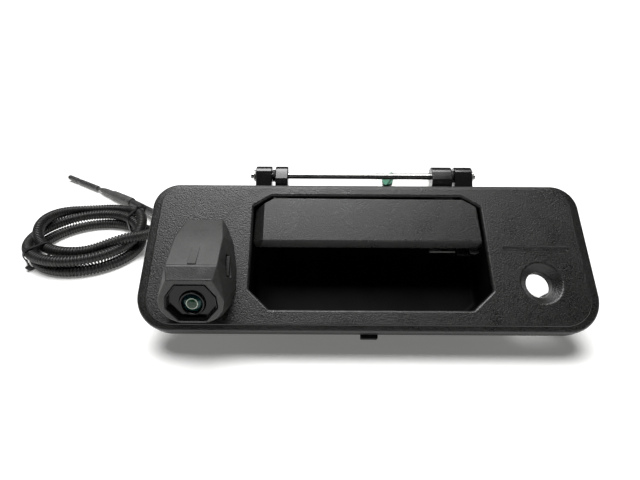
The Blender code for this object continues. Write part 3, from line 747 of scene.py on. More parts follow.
def walk(path, step):
    """The path's points, spaced evenly along it, about step apart, with both of its ends."""
    lengths = [0.0]
    for before, here in zip(path, path[1:]):
        lengths.append(lengths[-1] + (here - before).length)
    count = max(2, round(lengths[-1] / step))
    points = []
    at = 0
    for i in range(count + 1):
        goal = lengths[-1] * i / count
        while at < len(path) - 2 and lengths[at + 1] < goal:
            at += 1
        run = lengths[at + 1] - lengths[at]
        points.append(path[at].lerp(path[at + 1], (goal - lengths[at]) / run if run > 0 else 0.0))
    return points


def relaxed(path, rounds):
    """The path with its kinks eased out; its ends stay."""
    for _ in range(rounds):
        inner = [(a + 2 * b + c) / 4 for a, b, c in zip(path, path[1:], path[2:])]
        path = [path[0]] + inner + [path[-1]]
    return path


def length_of(path):
    return sum((here - before).length for before, here in zip(path, path[1:]))


def sweep(path, radii, sides):
    """A round tube along the path, with a radius at each of its points."""
    mesh = bmesh.new()
    side = None
    rows = []
    for i, here in enumerate(path):
        ahead = (path[min(i + 1, len(path) - 1)] - path[max(i - 1, 0)]).normalized()
        if side is None:
            side = ahead.orthogonal()
        side = (side - ahead * side.dot(ahead)).normalized()
        up = ahead.cross(side)
        ring = []
        for k in range(sides):
            angle = 2 * math.pi * k / sides
            ring.append(mesh.verts.new(here + (side * math.cos(angle) + up * math.sin(angle)) * radii[i]))
        rows.append(ring)
    for low, high in zip(rows, rows[1:]):
        for k in range(sides):
            j = (k + 1) % sides
            mesh.faces.new((low[k], low[j], high[j], high[k]))
    mesh.faces.new(rows[0])
    mesh.faces.new(rows[-1])
    return mesh


# A rib of the conduit: how far along the pitch, and how far inside the outer radius
RIB = ((0.00, 1.05), (0.30, 1.05), (0.40, 0.25), (0.48, 0.0), (0.80, 0.0), (0.90, 0.25))


def ribbed_path(path):
    """Points and radii of the conduit's ribs along the path."""
    ribs = round(length_of(path) / RIB_PITCH)
    samples = walk(path, length_of(path) / (ribs * SAMPLES_PER_RIB))
    points = []
    radii = []
    for rib in range(ribs):
        for share, inset in RIB:
            points.append(samples[round((rib + share) * SAMPLES_PER_RIB)])
            radii.append(CONDUIT_RADIUS - inset * MM)
    points.append(samples[-1])
    radii.append(CONDUIT_RADIUS - RIB[0][1] * MM)
    return points, radii


def build_cord():
    lead = smooth_curve([Vector(point) for point in mm(LEAD_ROUTE)])
    coil = coil_points()
    tail = smooth_curve([Vector(point) for point in mm(TAIL_ROUTE)])
    easing_rounds = 60
    route = relaxed(walk(lead + coil + tail, 1.5 * MM), easing_rounds)
    nearest = min(range(len(route)), key=lambda i: (route[i] - tail[0]).length)
    jacket_path = walk(route[nearest:], 3.0 * MM)

    points, radii = ribbed_path(route[:nearest + 1])
    conduit = plain_object("cord_conduit", sweep(points, radii, sides=18))
    finish_piece(conduit, conduit_plastic(), "housing", ("cord_lead", "cord_coil"), sharp=80.0)
    ties = [build_tie("front", 228.0, coil), build_tie("back", 50.0, coil)]

    jacket = plain_object("cord_jacket", sweep(jacket_path, [JACKET_RADIUS] * len(jacket_path), sides=24))
    finish_piece(jacket, jacket_rubber(), "housing", ("cord_tail",), sharp=80.0)
    sleeve = build_sleeve(jacket_path[-1])
    connector = build_connector()


def tie_hull(angle, coil):
    """The outline (distance from the coil's centre, height) of a strap pulled tight round the turns."""
    turn = math.radians(angle)
    ray = Vector((math.cos(turn), math.sin(turn)))
    places = []
    for before, here in zip(coil, coil[1:]):
        first = before.xy - COIL_CENTRE
        second = here.xy - COIL_CENTRE
        cross_1 = ray.x * first.y - ray.y * first.x
        cross_2 = ray.x * second.y - ray.y * second.x
        if cross_1 < 0 <= cross_2 and first.dot(ray) > 0:
            middle = (before + here) / 2
            places.append(((middle.xy - COIL_CENTRE).dot(ray), middle.z))
    points = []
    for place in places:
        points += circle(place, CONDUIT_RADIUS + 0.15 * MM, 28)
    return hull_outline(points)


def build_tie(place, angle, coil):
    """A nylon strap round the turns, with its lock and its cut end."""
    thickness = 1.1 * MM
    half_width = 1.5 * MM
    floor_gap = 0.1 * MM
    inside = tie_hull(angle, coil)
    outside = [(a, max(b, floor_gap)) for a, b in offset(inside, thickness)]
    inside = [(a, max(b, 0.25 * MM)) for a, b in inside]
    rings = []
    for outline, across in ((inside, -half_width), (outside, -half_width), (outside, half_width),
                            (inside, half_width)):
        rings.append([(a, across, b) for a, b in outline])
    tie = plain_object(f"tie_{place}", loft(rings, closed=True))
    # The lock sits on the outer side, low at the front of the coil and high at its back.
    aim = (1.0, -0.55) if place == "front" else (0.75, 0.66)
    spot = max(outside, key=lambda point: point[0] * aim[0] + point[1] * aim[1])
    out = Vector(aim).normalized()
    facing = Matrix.Rotation(-math.atan2(out.y, out.x), 4, "Y")
    lock_frame = Matrix.Translation((spot[0], 0, spot[1])) @ facing
    lock_side = rectangle(-0.4 * MM, 3.4 * MM, -2.6 * MM, 2.6 * MM)
    lock = soft_prism(lock_side, -2.3 * MM, 2.3 * MM, "y", 0.4 * MM)
    join(tie, moved(lock, lock_frame))
    end_length = 6.0 * MM if place == "front" else 5.0 * MM
    end_side = rectangle(0.8 * MM, 1.9 * MM, 1.5 * MM, 2.6 * MM + end_length)
    end = soft_prism(end_side, -1.2 * MM, 1.2 * MM, "y", 0.2 * MM)
    lean = Matrix.Rotation(math.radians(-30.0), 4, "Y")
    join(tie, moved(end, lock_frame @ lean))
    for vertex in tie.data.vertices:
        vertex.co.z = max(vertex.co.z, floor_gap)
    spun = Matrix.Rotation(math.radians(angle), 4, "Z")
    stand = Matrix.Translation((COIL_CENTRE.x, COIL_CENTRE.y, 0)) @ spun
    return finish_piece(tie, tie_nylon(), "housing", (f"cable_tie_{place}",), stand)


def build_sleeve(start):
    """Heat-shrink tube over the end of the jacket: it follows the wider part, then necks down."""
    reach = (SLEEVE_END - start).length
    # Share of the way along, and radius in millimetres
    stations = ((0.0, 4.45), (0.012, 5.1), (0.03, 5.35), (0.30, 5.5), (0.50, 5.35), (0.545, 5.1), (0.58, 4.5),
                (0.62, 4.35), (0.74, 4.2), (0.84, 3.9), (0.90, 3.2), (0.96, 2.3), (1.0, 2.1))
    path = []
    radii = []
    count = 60
    for i in range(count + 1):
        share = i / count
        for (low, r_low), (high, r_high) in zip(stations, stations[1:]):
            if low <= share <= high:
                radius = r_low + (r_high - r_low) * eased(share, low, high)
        wrinkle = 0.10 * noise.noise(Vector((share * 30.0, 0.0, 3.0)))
        path.append(start.lerp(SLEEVE_END, share))
        radii.append((radius + wrinkle) * MM)
    sleeve = plain_object("heat_shrink", sweep(path, radii, sides=28))
    # Shrunk tube isn't quite round.
    axis = (SLEEVE_END - start).normalized()
    for vertex in sleeve.data.vertices:
        share = (vertex.co - start).dot(axis) / reach
        spoke = vertex.co - start.lerp(SLEEVE_END, share)
        bump = noise.noise(vertex.co * 160.0) * 0.05 + noise.noise(vertex.co * 60.0) * 0.06
        vertex.co += spoke * bump
    return finish_piece(sleeve, shrink_tube(), "housing", ("heat_shrink_sleeve",),
                        sharp=60.0)


def build_connector():
    """The plug: a thin neck, a ribbed grip and a smooth round end."""
    reach = (CONNECTOR_END - SLEEVE_END).length
    profile = [(1.7, 0.3), (1.7, 3.4), (2.9, 3.9), (3.2, 4.5), (3.2, 7.0)]
    ribs = 11
    for i in range(ribs):
        base = 7.6 + i * 3.3
        profile += [(2.75, base), (2.75, base + 0.9), (3.15, base + 1.2), (3.15, base + 2.9)]
    last = reach / MM - 0.3
    profile += [(2.8, 45.0), (2.8, 52.0), (3.25, 52.5), (3.25, last - 1.2), (2.9, last - 0.3), (2.3, last),
                (1.5, last), (1.4, last - 2.0), (0.0, last - 2.0)]
    connector = plain_object("plug", turned(mm(profile), segments=32))
    place = along(SLEEVE_END, CONNECTOR_END - SLEEVE_END)
    return finish_piece(connector, plug_rubber(), "housing", ("cord_connector",), place)


# ---------------------------------------------------------------------------------- bezel and pocket

# Top, bottom, half width at the top and at the bottom, and corner radii at the top and at the bottom
OUTER = (57.4, -54.0, 159.4, 162.3, 19.0, 26.0)
PLATEAU = (53.6, -49.2, 152.2, 155.0, 14.0, 20.5)
OPENING = ((-69.5, -40.0), (73.0, -40.0), (88.8, -25.6), (86.3, 39.6),
           (71.8, 48.7), (-70.8, 48.7), (-84.8, 39.6), (-85.0, -25.2))
LOCK_U = 122.4 * MM
LOCK_V = -19.0 * MM
LOCK_BORE = 9.4 * MM
ARM_SPANS = {"left": (-69.4 * MM, -59.4 * MM), "right": (53.7 * MM, 69.6 * MM)}
BLOCK_SPANS = {"left": (-84.7 * MM, -72.0 * MM), "right": (71.7 * MM, 85.6 * MM)}
BEZEL_SKIN_BACK = 3.3 * MM
LEVER_PIVOTS = {"left": (21.4 * MM, 58.0 * MM), "right": (59.0 * MM, 57.5 * MM)}


def round_frame(sizes):
    """An outline with four round corners, seen from the front."""
    steps = 22
    top, low, top_half, low_half, top_radius, low_radius = (value * MM for value in sizes)
    top_x = top_half - top_radius
    low_x = low_half - low_radius
    points = arc((low_x, low + low_radius), low_radius, -90, 0, steps)
    points += arc((top_x, top - top_radius), top_radius, 0, 90, steps)
    points += arc((-top_x, top - top_radius), top_radius, 90, 180, steps)
    points += arc((-low_x, low + low_radius), low_radius, 180, 270, steps)
    return points


def bezel_ring(share, depth):
    """A ring between the outer edge, at share 0, and the plateau's edge, at share 1."""
    outer = round_frame(OUTER)
    inner = round_frame(PLATEAU)
    ring = []
    for (x_1, z_1), (x_2, z_2) in zip(outer, inner):
        ring.append((x_1 + (x_2 - x_1) * share, depth, z_1 + (z_2 - z_1) * share))
    return ring


def opening_outline(distance, radius=3.2 * MM):
    """The opening's outline, grown by distance, with round corners."""
    return rounded(offset(mm(OPENING), distance), max(radius + distance, 0.4 * MM), steps=7)


def mouth_cutter():
    """The opening, with a round lip at its front edge."""
    lip = 1.9 * MM
    inset = 1.3 * MM
    levels = [(lip + 0.5 * MM - inset, -0.6 * MM)]
    steps = 6
    for i in range(steps + 1):
        angle = math.pi / 2 * i / steps
        levels.append((lip * (1 - math.sin(angle)) - inset, lip * (1 - math.cos(angle)) - 0.02 * MM))
    levels.append((-inset, 2.6 * MM))
    levels.append((0.0, 3.0 * MM))
    levels.append((0.0, 9.0 * MM))
    return loft([[(x, depth, z) for x, z in opening_outline(grow)] for grow, depth in levels])


def build_bezel():
    """The moulded face: a plateau, a step down to a sloping border, and a round outer edge."""
    # Each ring's share of the way in, and its depth in millimetres
    slope = ((1.10, 0.0), (1.03, 0.0), (1.0, 0.05), (0.975, 0.2), (0.95, 0.42), (0.925, 0.55), (0.88, 0.66),
             (0.60, 1.02), (0.30, 1.50), (0.19, 1.78), (0.11, 2.12), (0.05, 2.65), (0.015, 3.3), (0.0, 4.1),
             (0.0, 12.0), (0.30, 12.0), (0.30, 6.2), (1.05, 3.0))
    bezel = plain_object("bezel", loft([bezel_ring(share, depth * MM) for share, depth in slope]))
    boss = prism(circle((LOCK_U, LOCK_V), 17.0 * MM), 2.6 * MM, 5.0 * MM, "y")
    join(bezel, boss)
    cut(bezel, mouth_cutter())
    dish_side = mm([(16.6, -0.04), (14.9, 0.04), (10.1, 4.3), (9.4, 4.8), (9.4, 8.0)])
    dish_side = rounded(dish_side, [0, 3.4 * MM, 1.0 * MM, 0.6 * MM, 0], steps=8, closed=False)
    dish = turned(mm([(17.4, -0.6)]) + dish_side, segments=96)
    cut(bezel, moved(dish, along((LOCK_U, 0, LOCK_V), (0, 1, 0))))
    groove = rounded(rectangle(98.3 * MM, 145.4 * MM, 5.0 * MM, 8.2 * MM), 1.3 * MM, steps=8)
    levels = ((0.6, -0.3), (0.35, 0.02), (0.0, 0.3), (-0.5, 1.0), (-1.0, 1.4))
    cut(bezel, loft([[(x, depth * MM, z) for x, z in offset(groove, grow * MM)] for grow, depth in levels]))
    # The camera's passage, and the gap that the hinge bar stands in
    cut_box(bezel, POD_U - 13.6 * MM, POD_U + 13.6 * MM, -41.0 * MM, -3.0 * MM, -1.0 * MM, 8.0 * MM)
    cut_box(bezel, -87.5 * MM, 88.5 * MM, 51.9 * MM, 60.0 * MM, 4.8 * MM, 14.0 * MM)
    finish_piece(bezel, bezel_plastic(), "housing", ("front_bezel",), FACE, sharp=32.0)


POCKET_FRONT = 3.3 * MM
POCKET_BACK = 45.5 * MM


def build_pocket():
    """The finger pocket, a deep bucket with round corners and a flange against the bezel."""
    wall = 2.8 * MM
    floor = 2.5 * MM
    round_back = 4.0 * MM
    steps = 6
    outer = [(wall, POCKET_FRONT)]
    inner = [(0.0, 0.0)]
    for i in range(steps + 1):
        angle = math.pi / 2 * i / steps
        inwards = round_back * (1 - math.cos(angle))
        forwards = round_back * (1 - math.sin(angle))
        outer.append((wall - inwards, POCKET_BACK - forwards))
        inner.append((-inwards, POCKET_BACK - floor - forwards))
    corner = 4.0 * MM

    def rings(profile):
        return [[(x, depth, z) for x, z in opening_outline(grow, corner)] for grow, depth in profile]

    pocket = plain_object("pocket", loft(rings(outer)))
    flange = mm([(-81, -42.8), (85, -42.8), (99.5, -30), (99.5, 38), (-95, 38), (-95, -30)])
    flange = rounded(flange, 3.0 * MM)
    join(pocket, prism(flange, POCKET_FRONT, POCKET_FRONT + 2.0 * MM, "y"))
    cut(pocket, loft(rings(inner)))
    cut_box(pocket, -100.0 * MM, 100.0 * MM, 44.6 * MM, 56.0 * MM, 1.0 * MM, 6.6 * MM)
    side = 0.4 * MM
    for low, high in ARM_SPANS.values():
        cut_box(pocket, low - side, high + side, 44.0 * MM, 56.0 * MM, 1.0 * MM, 24.0 * MM)
    cut_box(pocket, 23.6 * MM, 27.4 * MM, 11.1 * MM, 15.4 * MM, 80.0 * MM, 95.0 * MM, "x")
    finish_piece(pocket, pocket_plastic_painted_shade(), "housing", ("finger_pocket",), FACE, sharp=32.0)


# ---------------------------------------------------------------------------------- hinge

def knuckle_outline(legs):
    """Side view (w, v) of a knuckle: a round top about the hinge, on the given leg points."""
    return legs + arc((HINGE_W, HINGE_V), 7.36 * MM, 0, 180, 36)


def bore_for_rod(piece, low):
    """Cut the rod's bore through a knuckle whose left end is at low."""
    radius = 2.8 * MM
    length = 30 * MM
    before = 5 * MM
    bore = turned([(radius, 0), (radius, length)], segments=40)
    cut(piece, moved(bore, along((low - before, HINGE_W, HINGE_V), (1, 0, 0))))


def build_hinge():
    """The outer knuckles, the handle's arms with the inner knuckles, and the rod through them."""
    foot = 52.1 * MM
    front = HINGE_W - 7.4 * MM
    back = HINGE_W + 7.4 * MM
    for side, (low, high) in BLOCK_SPANS.items():
        outline = knuckle_outline([(front + 6.0 * MM, foot), (back, foot)])
        block = plain_object(f"knuckle_{side}", soft_prism(outline, low, high, "x", 0.9 * MM, steps=4))
        bore_for_rod(block, low)
        finish_piece(block, knuckle_plastic(), "housing", (f"hinge_block_{side}",), FACE,
                     sharp=40.0)
    legs = mm([(8.5, 22.0), (14.0, 24.0), (22.5, 42.0)]) + [(back, 64.0 * MM)]
    front_legs = [(front, 66.0 * MM)] + mm([(17.2, 56.0), (17.5, 43.5), (8.5, 38.5)])
    outline = knuckle_outline(legs) + front_legs
    for side, (low, high) in ARM_SPANS.items():
        arm = plain_object(f"arm_{side}", prism(outline, low, high, "x"))
        soften(arm, 0.8 * MM, segments=3, angle=40.0)
        bore_for_rod(arm, low)
        finish_piece(arm, knuckle_plastic(), "handle", (f"handle_arm_{side}",), FACE,
                     sharp=40.0)
    length = 178.8 * MM
    chamfer = 0.5 * MM
    radius = 2.5 * MM
    neck = 2.1 * MM
    rod = [(radius - chamfer, 0.0), (radius, chamfer)]
    for start in (2.8 * MM, length - 4.0 * MM):
        rod += [(radius, start - 0.05 * MM), (neck, start)]
        rod += [(neck, start + 1.2 * MM), (radius, start + 1.25 * MM)]
    rod += [(radius, length - chamfer), (radius - chamfer, length)]
    piece = plain_object("rod", turned(rod, segments=48))
    finish_piece(piece, rod_steel(), "housing", ("hinge_rod",),
                 FACE @ along((-89.4 * MM, HINGE_W, HINGE_V), (1, 0, 0)), sharp=25.0)


# ---------------------------------------------------------------------------------- handle

def build_paddle():
    """The pull: a flat front with bevelled sides and a cut at each lower corner."""
    front = mm([(-75.6, 11.8), (83.6, 11.8), (82.0, 39.0), (72.4, 45.0), (-68.0, 45.5), (-75.5, 41.1)])
    middle = mm([(-77.6, 8.3), (80.9, 8.3), (85.8, 12.2), (84.4, 38.0), (72.8, 44.9), (-69.8, 44.9),
                 (-82.2, 38.4), (-83.2, 12.2)])
    back = mm([(-82.4, 9.0), (85.0, 9.0), (83.4, 37.6), (70.8, 44.3), (-69.4, 44.3), (-81.6, 38.0)])
    points = []
    for outline, depth in ((front, 0.0), (middle, 5.6 * MM), (back, 7.6 * MM)):
        points += [(x, depth, z) for x, z in outline]
    paddle = plain_object("paddle", hull_solid(points, 1.5))
    soften(paddle, 0.55 * MM, segments=3, angle=10.0)
    cut_box(paddle, -71.8 * MM, 75.8 * MM, 14.2 * MM, 40.2 * MM, 3.0 * MM, 12.0 * MM)
    finish_piece(paddle, paddle_plastic(), "handle", ("handle_paddle",), FACE, sharp=40.0)
    bumper = rounded(mm(rectangle(76.3, 84.0, 4.8, 11.6)), 2.2 * MM)
    nub = plain_object("bumper", soft_prism(bumper, 7.9 * MM, 13.5 * MM, "y", 0.9 * MM))
    finish_piece(nub, barrel_plastic(), "handle", ("handle_bumper",), FACE)


# ---------------------------------------------------------------------------------- camera pod

# Half of the lens face's outline, and the whole of the opening's, in the lens frame: across, and up the face
LENS_FACE = ((22.0, 3.5), (20.8, -3.5), (16.0, -9.7), (8.5, -12.7))
LENS_FACE_TOP = (15.0, 18.3)
LENS_OPENING = ((-9.8, 14.6), (-16.4, 6.2), (-17.2, -1.8), (-9.0, -11.2),
                (9.0, -11.2), (17.2, -1.8), (16.4, 6.2), (9.8, 14.6))
# The pod's foot on the bezel as (across, up), and its sloping top as (across, up, out of the face)
POD_FOOT = ((13.0, 28.0), (17.5, 20.5), (22.0, 10.0), (25.5, -9.0), (26.0, -24.0), (23.8, -35.5),
            (18.5, -43.0), (10.0, -48.0))
POD_TOP = ((13.0, 27.0, -1.4), (17.2, -15.0, -26.0), (16.9, 9.0, -13.4))


def pod_points():
    """Corners of the pod: its foot on the bezel, its sloping top, and its lens face."""
    points = []
    for sign in (-1, 1):
        points += [Vector((POD_U + sign * x * MM, -0.3 * MM, v * MM)) for x, v in POD_FOOT]
        points += [Vector((POD_U + sign * x * MM, w * MM, v * MM)) for x, v, w in POD_TOP]
        for x, b in LENS_FACE + (LENS_FACE_TOP,):
            points.append(LENS_IN_FACE @ Vector((sign * x * MM, b * MM, 0.0)))
    return points


def lens_opening(grow):
    return rounded(offset(mm(LENS_OPENING), grow), 1.6 * MM, steps=5)


def on_slope(share, rise):
    """A point (w, v) on the pod's sloping top: its share of the way down, and its rise off the slope."""
    high = Vector((POD_TOP[0][2], POD_TOP[0][1]))
    low = Vector((POD_TOP[1][2], POD_TOP[1][1]))
    down = (low - high).normalized()
    outward = Vector((down.y, -down.x))
    place = high.lerp(low, share) * MM + outward * rise
    return (place.x, place.y)


def build_pod():
    """The faceted cover, with a raised rib on its slope, a slot on its right and the lens opening."""
    cover = plain_object("pod", hull_solid(pod_points()))
    soften(cover, 1.6 * MM, segments=4, angle=6.0)
    rise = 0.9 * MM
    rib = [on_slope(0.46, -1.0 * MM), on_slope(0.46, rise * 0.6), on_slope(0.50, rise),
           on_slope(0.985, rise), on_slope(1.0, -1.0 * MM)]
    rib_half = 2.9 * MM
    raised = soft_prism(rib, POD_U - rib_half, POD_U + rib_half, "x", 0.35 * MM)
    bmesh.ops.recalc_face_normals(raised, faces=raised.faces)
    join(cover, raised)
    fold = [on_slope(0.995, 0.6 * MM), on_slope(1.005, 0.6 * MM),
            on_slope(1.004, -0.4 * MM), on_slope(0.996, -0.4 * MM)]
    cut(cover, prism(fold, POD_U - 20.0 * MM, POD_U + 20.0 * MM, "x"))
    funnel = [(0.9 * MM, 1.0 * MM), (0.9 * MM, -0.02 * MM), (0.35 * MM, -0.6 * MM), (0.3 * MM, -9.0 * MM)]
    rings = [[(x, b, depth) for x, b in lens_opening(grow)] for grow, depth in funnel]
    cut(cover, moved(loft(rings), LENS_IN_FACE))
    tunnel = 11.4 * MM
    room = prism(rectangle(-tunnel, tunnel, -tunnel, tunnel), -60.0 * MM, -7.0 * MM, "z")
    cut(cover, moved(room, LENS_IN_FACE))
    slot = rounded(mm(rectangle(-15.6, -8.6, -19.5, -3.0)), 1.8 * MM)
    cut(cover, prism(slot, POD_U + 19.6 * MM, POD_U + 40.0 * MM, "x"))
    finish_piece(cover, pod_plastic(), "housing", ("pod_cover",), FACE, sharp=24.0)
    insert = rounded(mm(rectangle(-11.9, -9.2, -18.5, -4.0)), 0.8 * MM)
    bar = soft_prism(insert, POD_U + 19.9 * MM, POD_U + 22.6 * MM, "x", 0.5 * MM)
    bar = plain_object("side_insert", bar)
    finish_piece(bar, lip_plastic(), "housing", ("pod_side_insert",), FACE)
    build_lip()


def build_lip():
    """The grained band between the slope and the lens face."""
    low = LENS_IN_FACE @ Vector((0.0, LENS_FACE_TOP[1] * MM, 0.0))
    edge = Vector(on_slope(1.0, 0.0))
    bottom = Vector((low.y, low.z))
    down = (bottom - edge).normalized()
    outward = Vector((down.y, -down.x))
    start = edge + down * 1.3 * MM
    end = bottom - down * 1.0 * MM
    skin = 0.12 * MM
    points = []
    for place, half in ((start, 16.7 * MM), (end, 14.7 * MM)):
        for rise in (-0.3 * MM, skin):
            level = place + outward * rise
            points += [Vector((POD_U + sign * half, level.x, level.y)) for sign in (-1, 1)]
    band = plain_object("pod_lip", hull_solid(points))
    finish_piece(band, lip_plastic(), "housing", (), FACE)


def build_lens():
    """The glossy funnel, the barrel with its rings, and the coated front glass with the iris in it."""
    walls = [(0.0, -4.1), (0.0, -0.5), (-0.25, -0.1), (-0.6, -0.35), (-1.2, -4.0), (-1.2, -4.1)]
    rings = [[(x, b, depth * MM) for x, b in lens_opening(grow * MM)] for grow, depth in walls]
    hood = plain_object("hood", loft(rings, closed=True))
    finish_piece(hood, hood_plastic(), "housing", ("lens_hood",), LENS, sharp=30.0)
    bore = 8.8 * MM
    carrier = plain_object("carrier", prism(lens_opening(-0.1 * MM), -6.2 * MM, -4.2 * MM, "z"))
    cut(carrier, turned([(bore, -9.0 * MM), (bore, -4.6 * MM), (bore + 0.6 * MM, -3.9 * MM)], segments=72))
    finish_piece(carrier, hood_plastic(), "housing", ("lens_carrier",), LENS)
    barrel = mm([(5.4, -22.0), (5.4, -13.0), (8.1, -12.4), (8.4, -12.0), (8.4, -4.6), (8.0, -4.2),
                 (7.2, -4.2), (7.2, -7.2), (0.0, -7.2)])
    tube = plain_object("barrel", turned(barrel, segments=72))
    finish_piece(tube, barrel_plastic(), "housing", ("lens_barrel",), LENS, sharp=25.0)
    ring = mm([(7.1, -3.9), (8.5, -3.9), (8.5, -2.6), (8.1, -2.1), (7.3, -2.3), (7.1, -2.6)])
    ring = rounded(ring, 0.25 * MM, steps=3)
    rim = plain_object("front_ring", turned(ring, segments=96, closed=True))
    finish_piece(rim, hood_plastic(), "housing", ("lens_ring",), LENS, sharp=40.0)
    build_glass()


DOME_RADIUS = 10.2 * MM
DOME_TOP = -1.7 * MM


def dome_height(radius):
    return DOME_TOP - DOME_RADIUS + math.sqrt(DOME_RADIUS ** 2 - radius ** 2)


def build_glass():
    """The coated front glass in three rings, with the bright iris between them."""
    rim = 6.9 * MM
    iris = 4.0 * MM
    base = -5.6 * MM
    steps = 14
    outer = [(iris, base), (rim, base)]
    for i in range(steps + 1):
        radius = rim + (iris - rim) * i / steps
        outer.append((radius, dome_height(radius)))
    glass = plain_object("glass", turned(outer, segments=96, closed=True))
    finish_piece(glass, lens_coating(), "housing", ("front_glass",), LENS, sharp=40.0)
    inner = 3.35 * MM
    middle = [(0.0, base), (inner, base)]
    for i in range(steps + 1):
        radius = inner * (1 - i / steps)
        middle.append((radius, dome_height(radius)))
    pupil = plain_object("glass_middle", turned(middle, segments=96))
    finish_piece(pupil, lens_heart(), "housing", (), LENS, sharp=40.0)
    top = dome_height(iris)
    ring = [(inner, base), (iris, base), (iris, top), ((inner + iris) / 2, top + 0.12 * MM),
            (inner, top + 0.05 * MM)]
    bright = plain_object("iris", turned(ring, segments=96, closed=True))
    finish_piece(bright, iris_metal(), "housing", ("iris_ring",), LENS, sharp=60.0)


# ---------------------------------------------------------------------------------- the other pieces

def refined(node, finish, width):
    """Stands for a CAD node: the same form with round edges and a worked surface."""
    data = NODES[node].data.copy()
    piece = bpy.data.objects.new(f"{node}_fine", data)
    bpy.context.scene.collection.objects.link(piece)
    mesh = bmesh.new()
    mesh.from_mesh(data)
    bmesh.ops.remove_doubles(mesh, verts=mesh.verts, dist=0.002 * MM)
    bmesh.ops.dissolve_limit(mesh, angle_limit=math.radians(1.0), verts=mesh.verts, edges=mesh.edges)
    mesh.to_mesh(data)
    mesh.free()
    soften(piece, width, segments=2, angle=40.0)
    finish_piece(piece, finish, NODES[node]["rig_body"], (node,))


def build_screw(node, place, radius, height):
    """A pan head screw with a cross in its head, at the node's place in the face frame."""
    side = 0.4 * MM
    head = [(0.0, 0.0), (radius * 0.86, 0.0), (radius, 0.5 * MM), (radius, height * 0.55),
            (radius * 0.93, height * 0.78), (radius * 0.70, height * 0.93), (0.0, height)]
    screw = plain_object(f"{node}_cross", turned(head, segments=40))
    arm = radius * 0.58
    deep = height * 0.45
    for across in (rectangle(-arm, arm, -side, side), rectangle(-side, side, -arm, arm)):
        cut(screw, prism(across, deep, height * 1.4, "z"))
    stand = FACE @ along(place, (0, 1, 0))
    finish_piece(screw, screw_zinc(), NODES[node]["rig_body"], (node,), stand, sharp=30.0)


def build_screws():
    radius = 3.0 * MM
    height = 2.6 * MM
    places = mm([(-91.3, 28), (-91.3, -20), (94.8, 28), (95.6, -20)])
    for number, (x, z) in enumerate(places, 1):
        build_screw(f"pocket_screw_{number}", (x, 5.6 * MM, z), radius, height)
    for side, sign in (("left", -1), ("right", 1)):
        place = (POD_U + sign * 19.5 * MM, BEZEL_SKIN_BACK, -20.0 * MM)
        build_screw(f"pod_screw_{side}", place, radius, height)
    for side, x in (("left", -36.0), ("right", 38.0)):
        build_screw(f"handle_screw_{side}", (x * MM, 8.5 * MM, 27.0 * MM), 4.0 * MM, 2.4 * MM)


def build_springs():
    """The return springs, wound finely, with a straight tail at the start."""
    wire = 0.6 * MM
    mean = 3.7 * MM
    pitch = 1.5 * MM
    turns = 3
    steps = 36
    for side, sign in (("left", -1), ("right", 1)):
        x, z = LEVER_PIVOTS[side]
        base = 33.7 * MM
        path = [Vector((x + sign * mean, base, z - tail * MM)) for tail in (5.0, 2.0)]
        for i in range(turns * steps + 1):
            angle = 2 * math.pi * i / steps
            path.append(Vector((x + sign * mean * math.cos(angle), base + pitch * i / steps,
                                z + mean * math.sin(angle))))
        mesh = moved(sweep(path, [wire] * len(path), sides=14), FACE)
        spring = plain_object(f"spring_{side}", mesh)
        finish_piece(spring, pin_steel(), "housing", (f"return_spring_{side}",))


def build_sleeve_tube():
    """The lock sleeve: a flange and a short tube, with a thin sliver of wall left at its lower right."""
    tube = [(LOCK_BORE, 0.0), (LOCK_BORE, 20 * MM), (12.4 * MM, 20 * MM), (12.4 * MM, 2.2 * MM),
            (14.6 * MM, 2.2 * MM), (15.0 * MM, 1.8 * MM), (15.0 * MM, 0.0)]
    sleeve = plain_object("sleeve_tube", turned(tube, segments=96, closed=True))
    tube_end = 6.0 * MM
    away = rectangle(-14 * MM, 14 * MM, -14 * MM, 14 * MM)
    for x, y in ((-12.5, 0.0), (0.0, -10.0), (0.0, 18.5)):
        block = [(a + x * MM, b + y * MM) for a, b in away]
        cut(sleeve, prism(block, tube_end, 30 * MM, "z"))
    finish_piece(sleeve, bracket_plastic(), "housing", ("lock_sleeve",),
                 FACE @ along((LOCK_U, 5.3 * MM, LOCK_V), (0, 1, 0)), sharp=30.0)


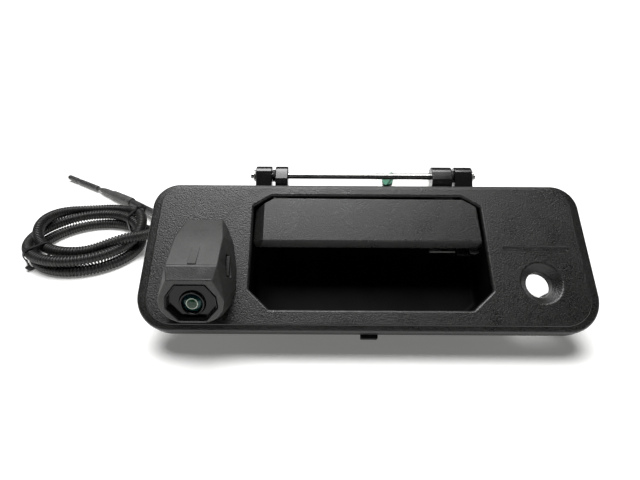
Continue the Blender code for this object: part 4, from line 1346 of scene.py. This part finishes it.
def build_rest():
    build_screws()
    build_springs()
    build_sleeve_tube()
    # Finish, slot, width of the round edges in millimetres, and the nodes
    plain = ((pocket_plastic_painted_shade, "smooth_black", 0.6, ("snap_tab",)),
             (bracket_plastic, "smooth_black", 0.6, ("hinge_bar", "mounting_post_left", "mounting_post_right",
                                                     "handle_plate")),
             (bracket_plastic, "smooth_black", 0.5, ("mechanism_bracket",)),
             (bracket_plastic, "smooth_black", 0.6, ("camera_body", "camera_back_cover")),
             (knuckle_plastic, "gloss_black", 0.5, ("lock_bar_guide",)),
             (barrel_plastic, "gloss_black", 0.15, ("image_sensor",)),
             (circuit_board, "circuit_green", 0.15, ("sensor_board",)),
             (seal_rubber, "rubber", 0.3, ("lens_seal",)),
             (seal_rubber, "rubber", 0.5, ("cable_gland",)),
             (seal_rubber, "rubber", 0.25, ("hinge_bush_left", "hinge_bush_right")),
             (pin_steel, "steel", 0.3, ("lever_pin_left", "lever_pin_right")),
             (zinc_plate, "zinc", 0.25, ("rod_end_clip_left", "rod_end_clip_right")),
             (zinc_plate, "zinc", 0.5, ("release_lever_left", "release_lever_right", "lock_bar")),
             (clip_green, "green_plastic", 0.4, ("rod_clip",)))
    for finish, slot, width, nodes in plain:
        for node in nodes:
            refined(node, finish(), width * MM)


# ---------------------------------------------------------------------------------- studio

def build_studio():
    """A pale floor under one broad, soft light from above and behind, and a dim room around it."""
    scene = bpy.context.scene
    scene.view_settings.view_transform = "Standard"
    size = 12.0
    floor_mesh = bmesh.new()
    level = -0.2 * MM
    corners = [floor_mesh.verts.new((x, y, level)) for x, y in rectangle(-size, size, -size, size)]
    floor_mesh.faces.new(corners)
    floor = plain_object("floor", floor_mesh)
    paper = Finish("floor_paper", (0.92, 0.92, 0.915), 0.75, specular=0.3)
    paper.colours(paper.pattern(6 * MM, 3.0), (0.915, 0.915, 0.91), (0.925, 0.925, 0.92))
    paper.relief(paper.pattern(0.9 * MM, 2.0), 0.02 * MM)
    # A faint glow lightens the shadow under the bezel.
    paper.set("Emission Color", (1.0, 1.0, 0.98, 1.0)).set("Emission Strength", 0.17)
    floor.data.materials.append(paper.material)

    world = bpy.data.worlds.new("room")
    world.use_nodes = True
    tree = world.node_tree
    place = tree.nodes.new("ShaderNodeTexCoord").outputs["Generated"]
    apart = shader_node(tree, "ShaderNodeSeparateXYZ", {"Vector": place})
    by_depth = map_range(tree, apart.outputs["Y"], -0.55, 0.10, 0.05, 1.0)
    near_floor = map_range(tree, apart.outputs["Z"], 0.10, 0.50, 0.55, 0.0)
    strength = math_node(tree, "MAXIMUM", by_depth, near_floor)
    tree.links.new(strength, tree.nodes["Background"].inputs["Strength"])
    scene.world = world

    data = bpy.data.lights.new("softbox", "SUN")
    data.energy = 4.4
    data.angle = math.radians(44.0)
    light = bpy.data.objects.new("softbox", data)
    towards_light = Vector((-0.10, 0.10, 1.0))
    light.rotation_euler = towards_light.to_track_quat("Z", "Y").to_euler()
    scene.collection.objects.link(light)


# ---------------------------------------------------------------------------------- the whole

def build():
    build_view()
    build_cord()
    build_bezel()
    build_pocket()
    build_hinge()
    build_paddle()
    build_pod()
    build_lens()
    build_rest()
    build_studio()


build()
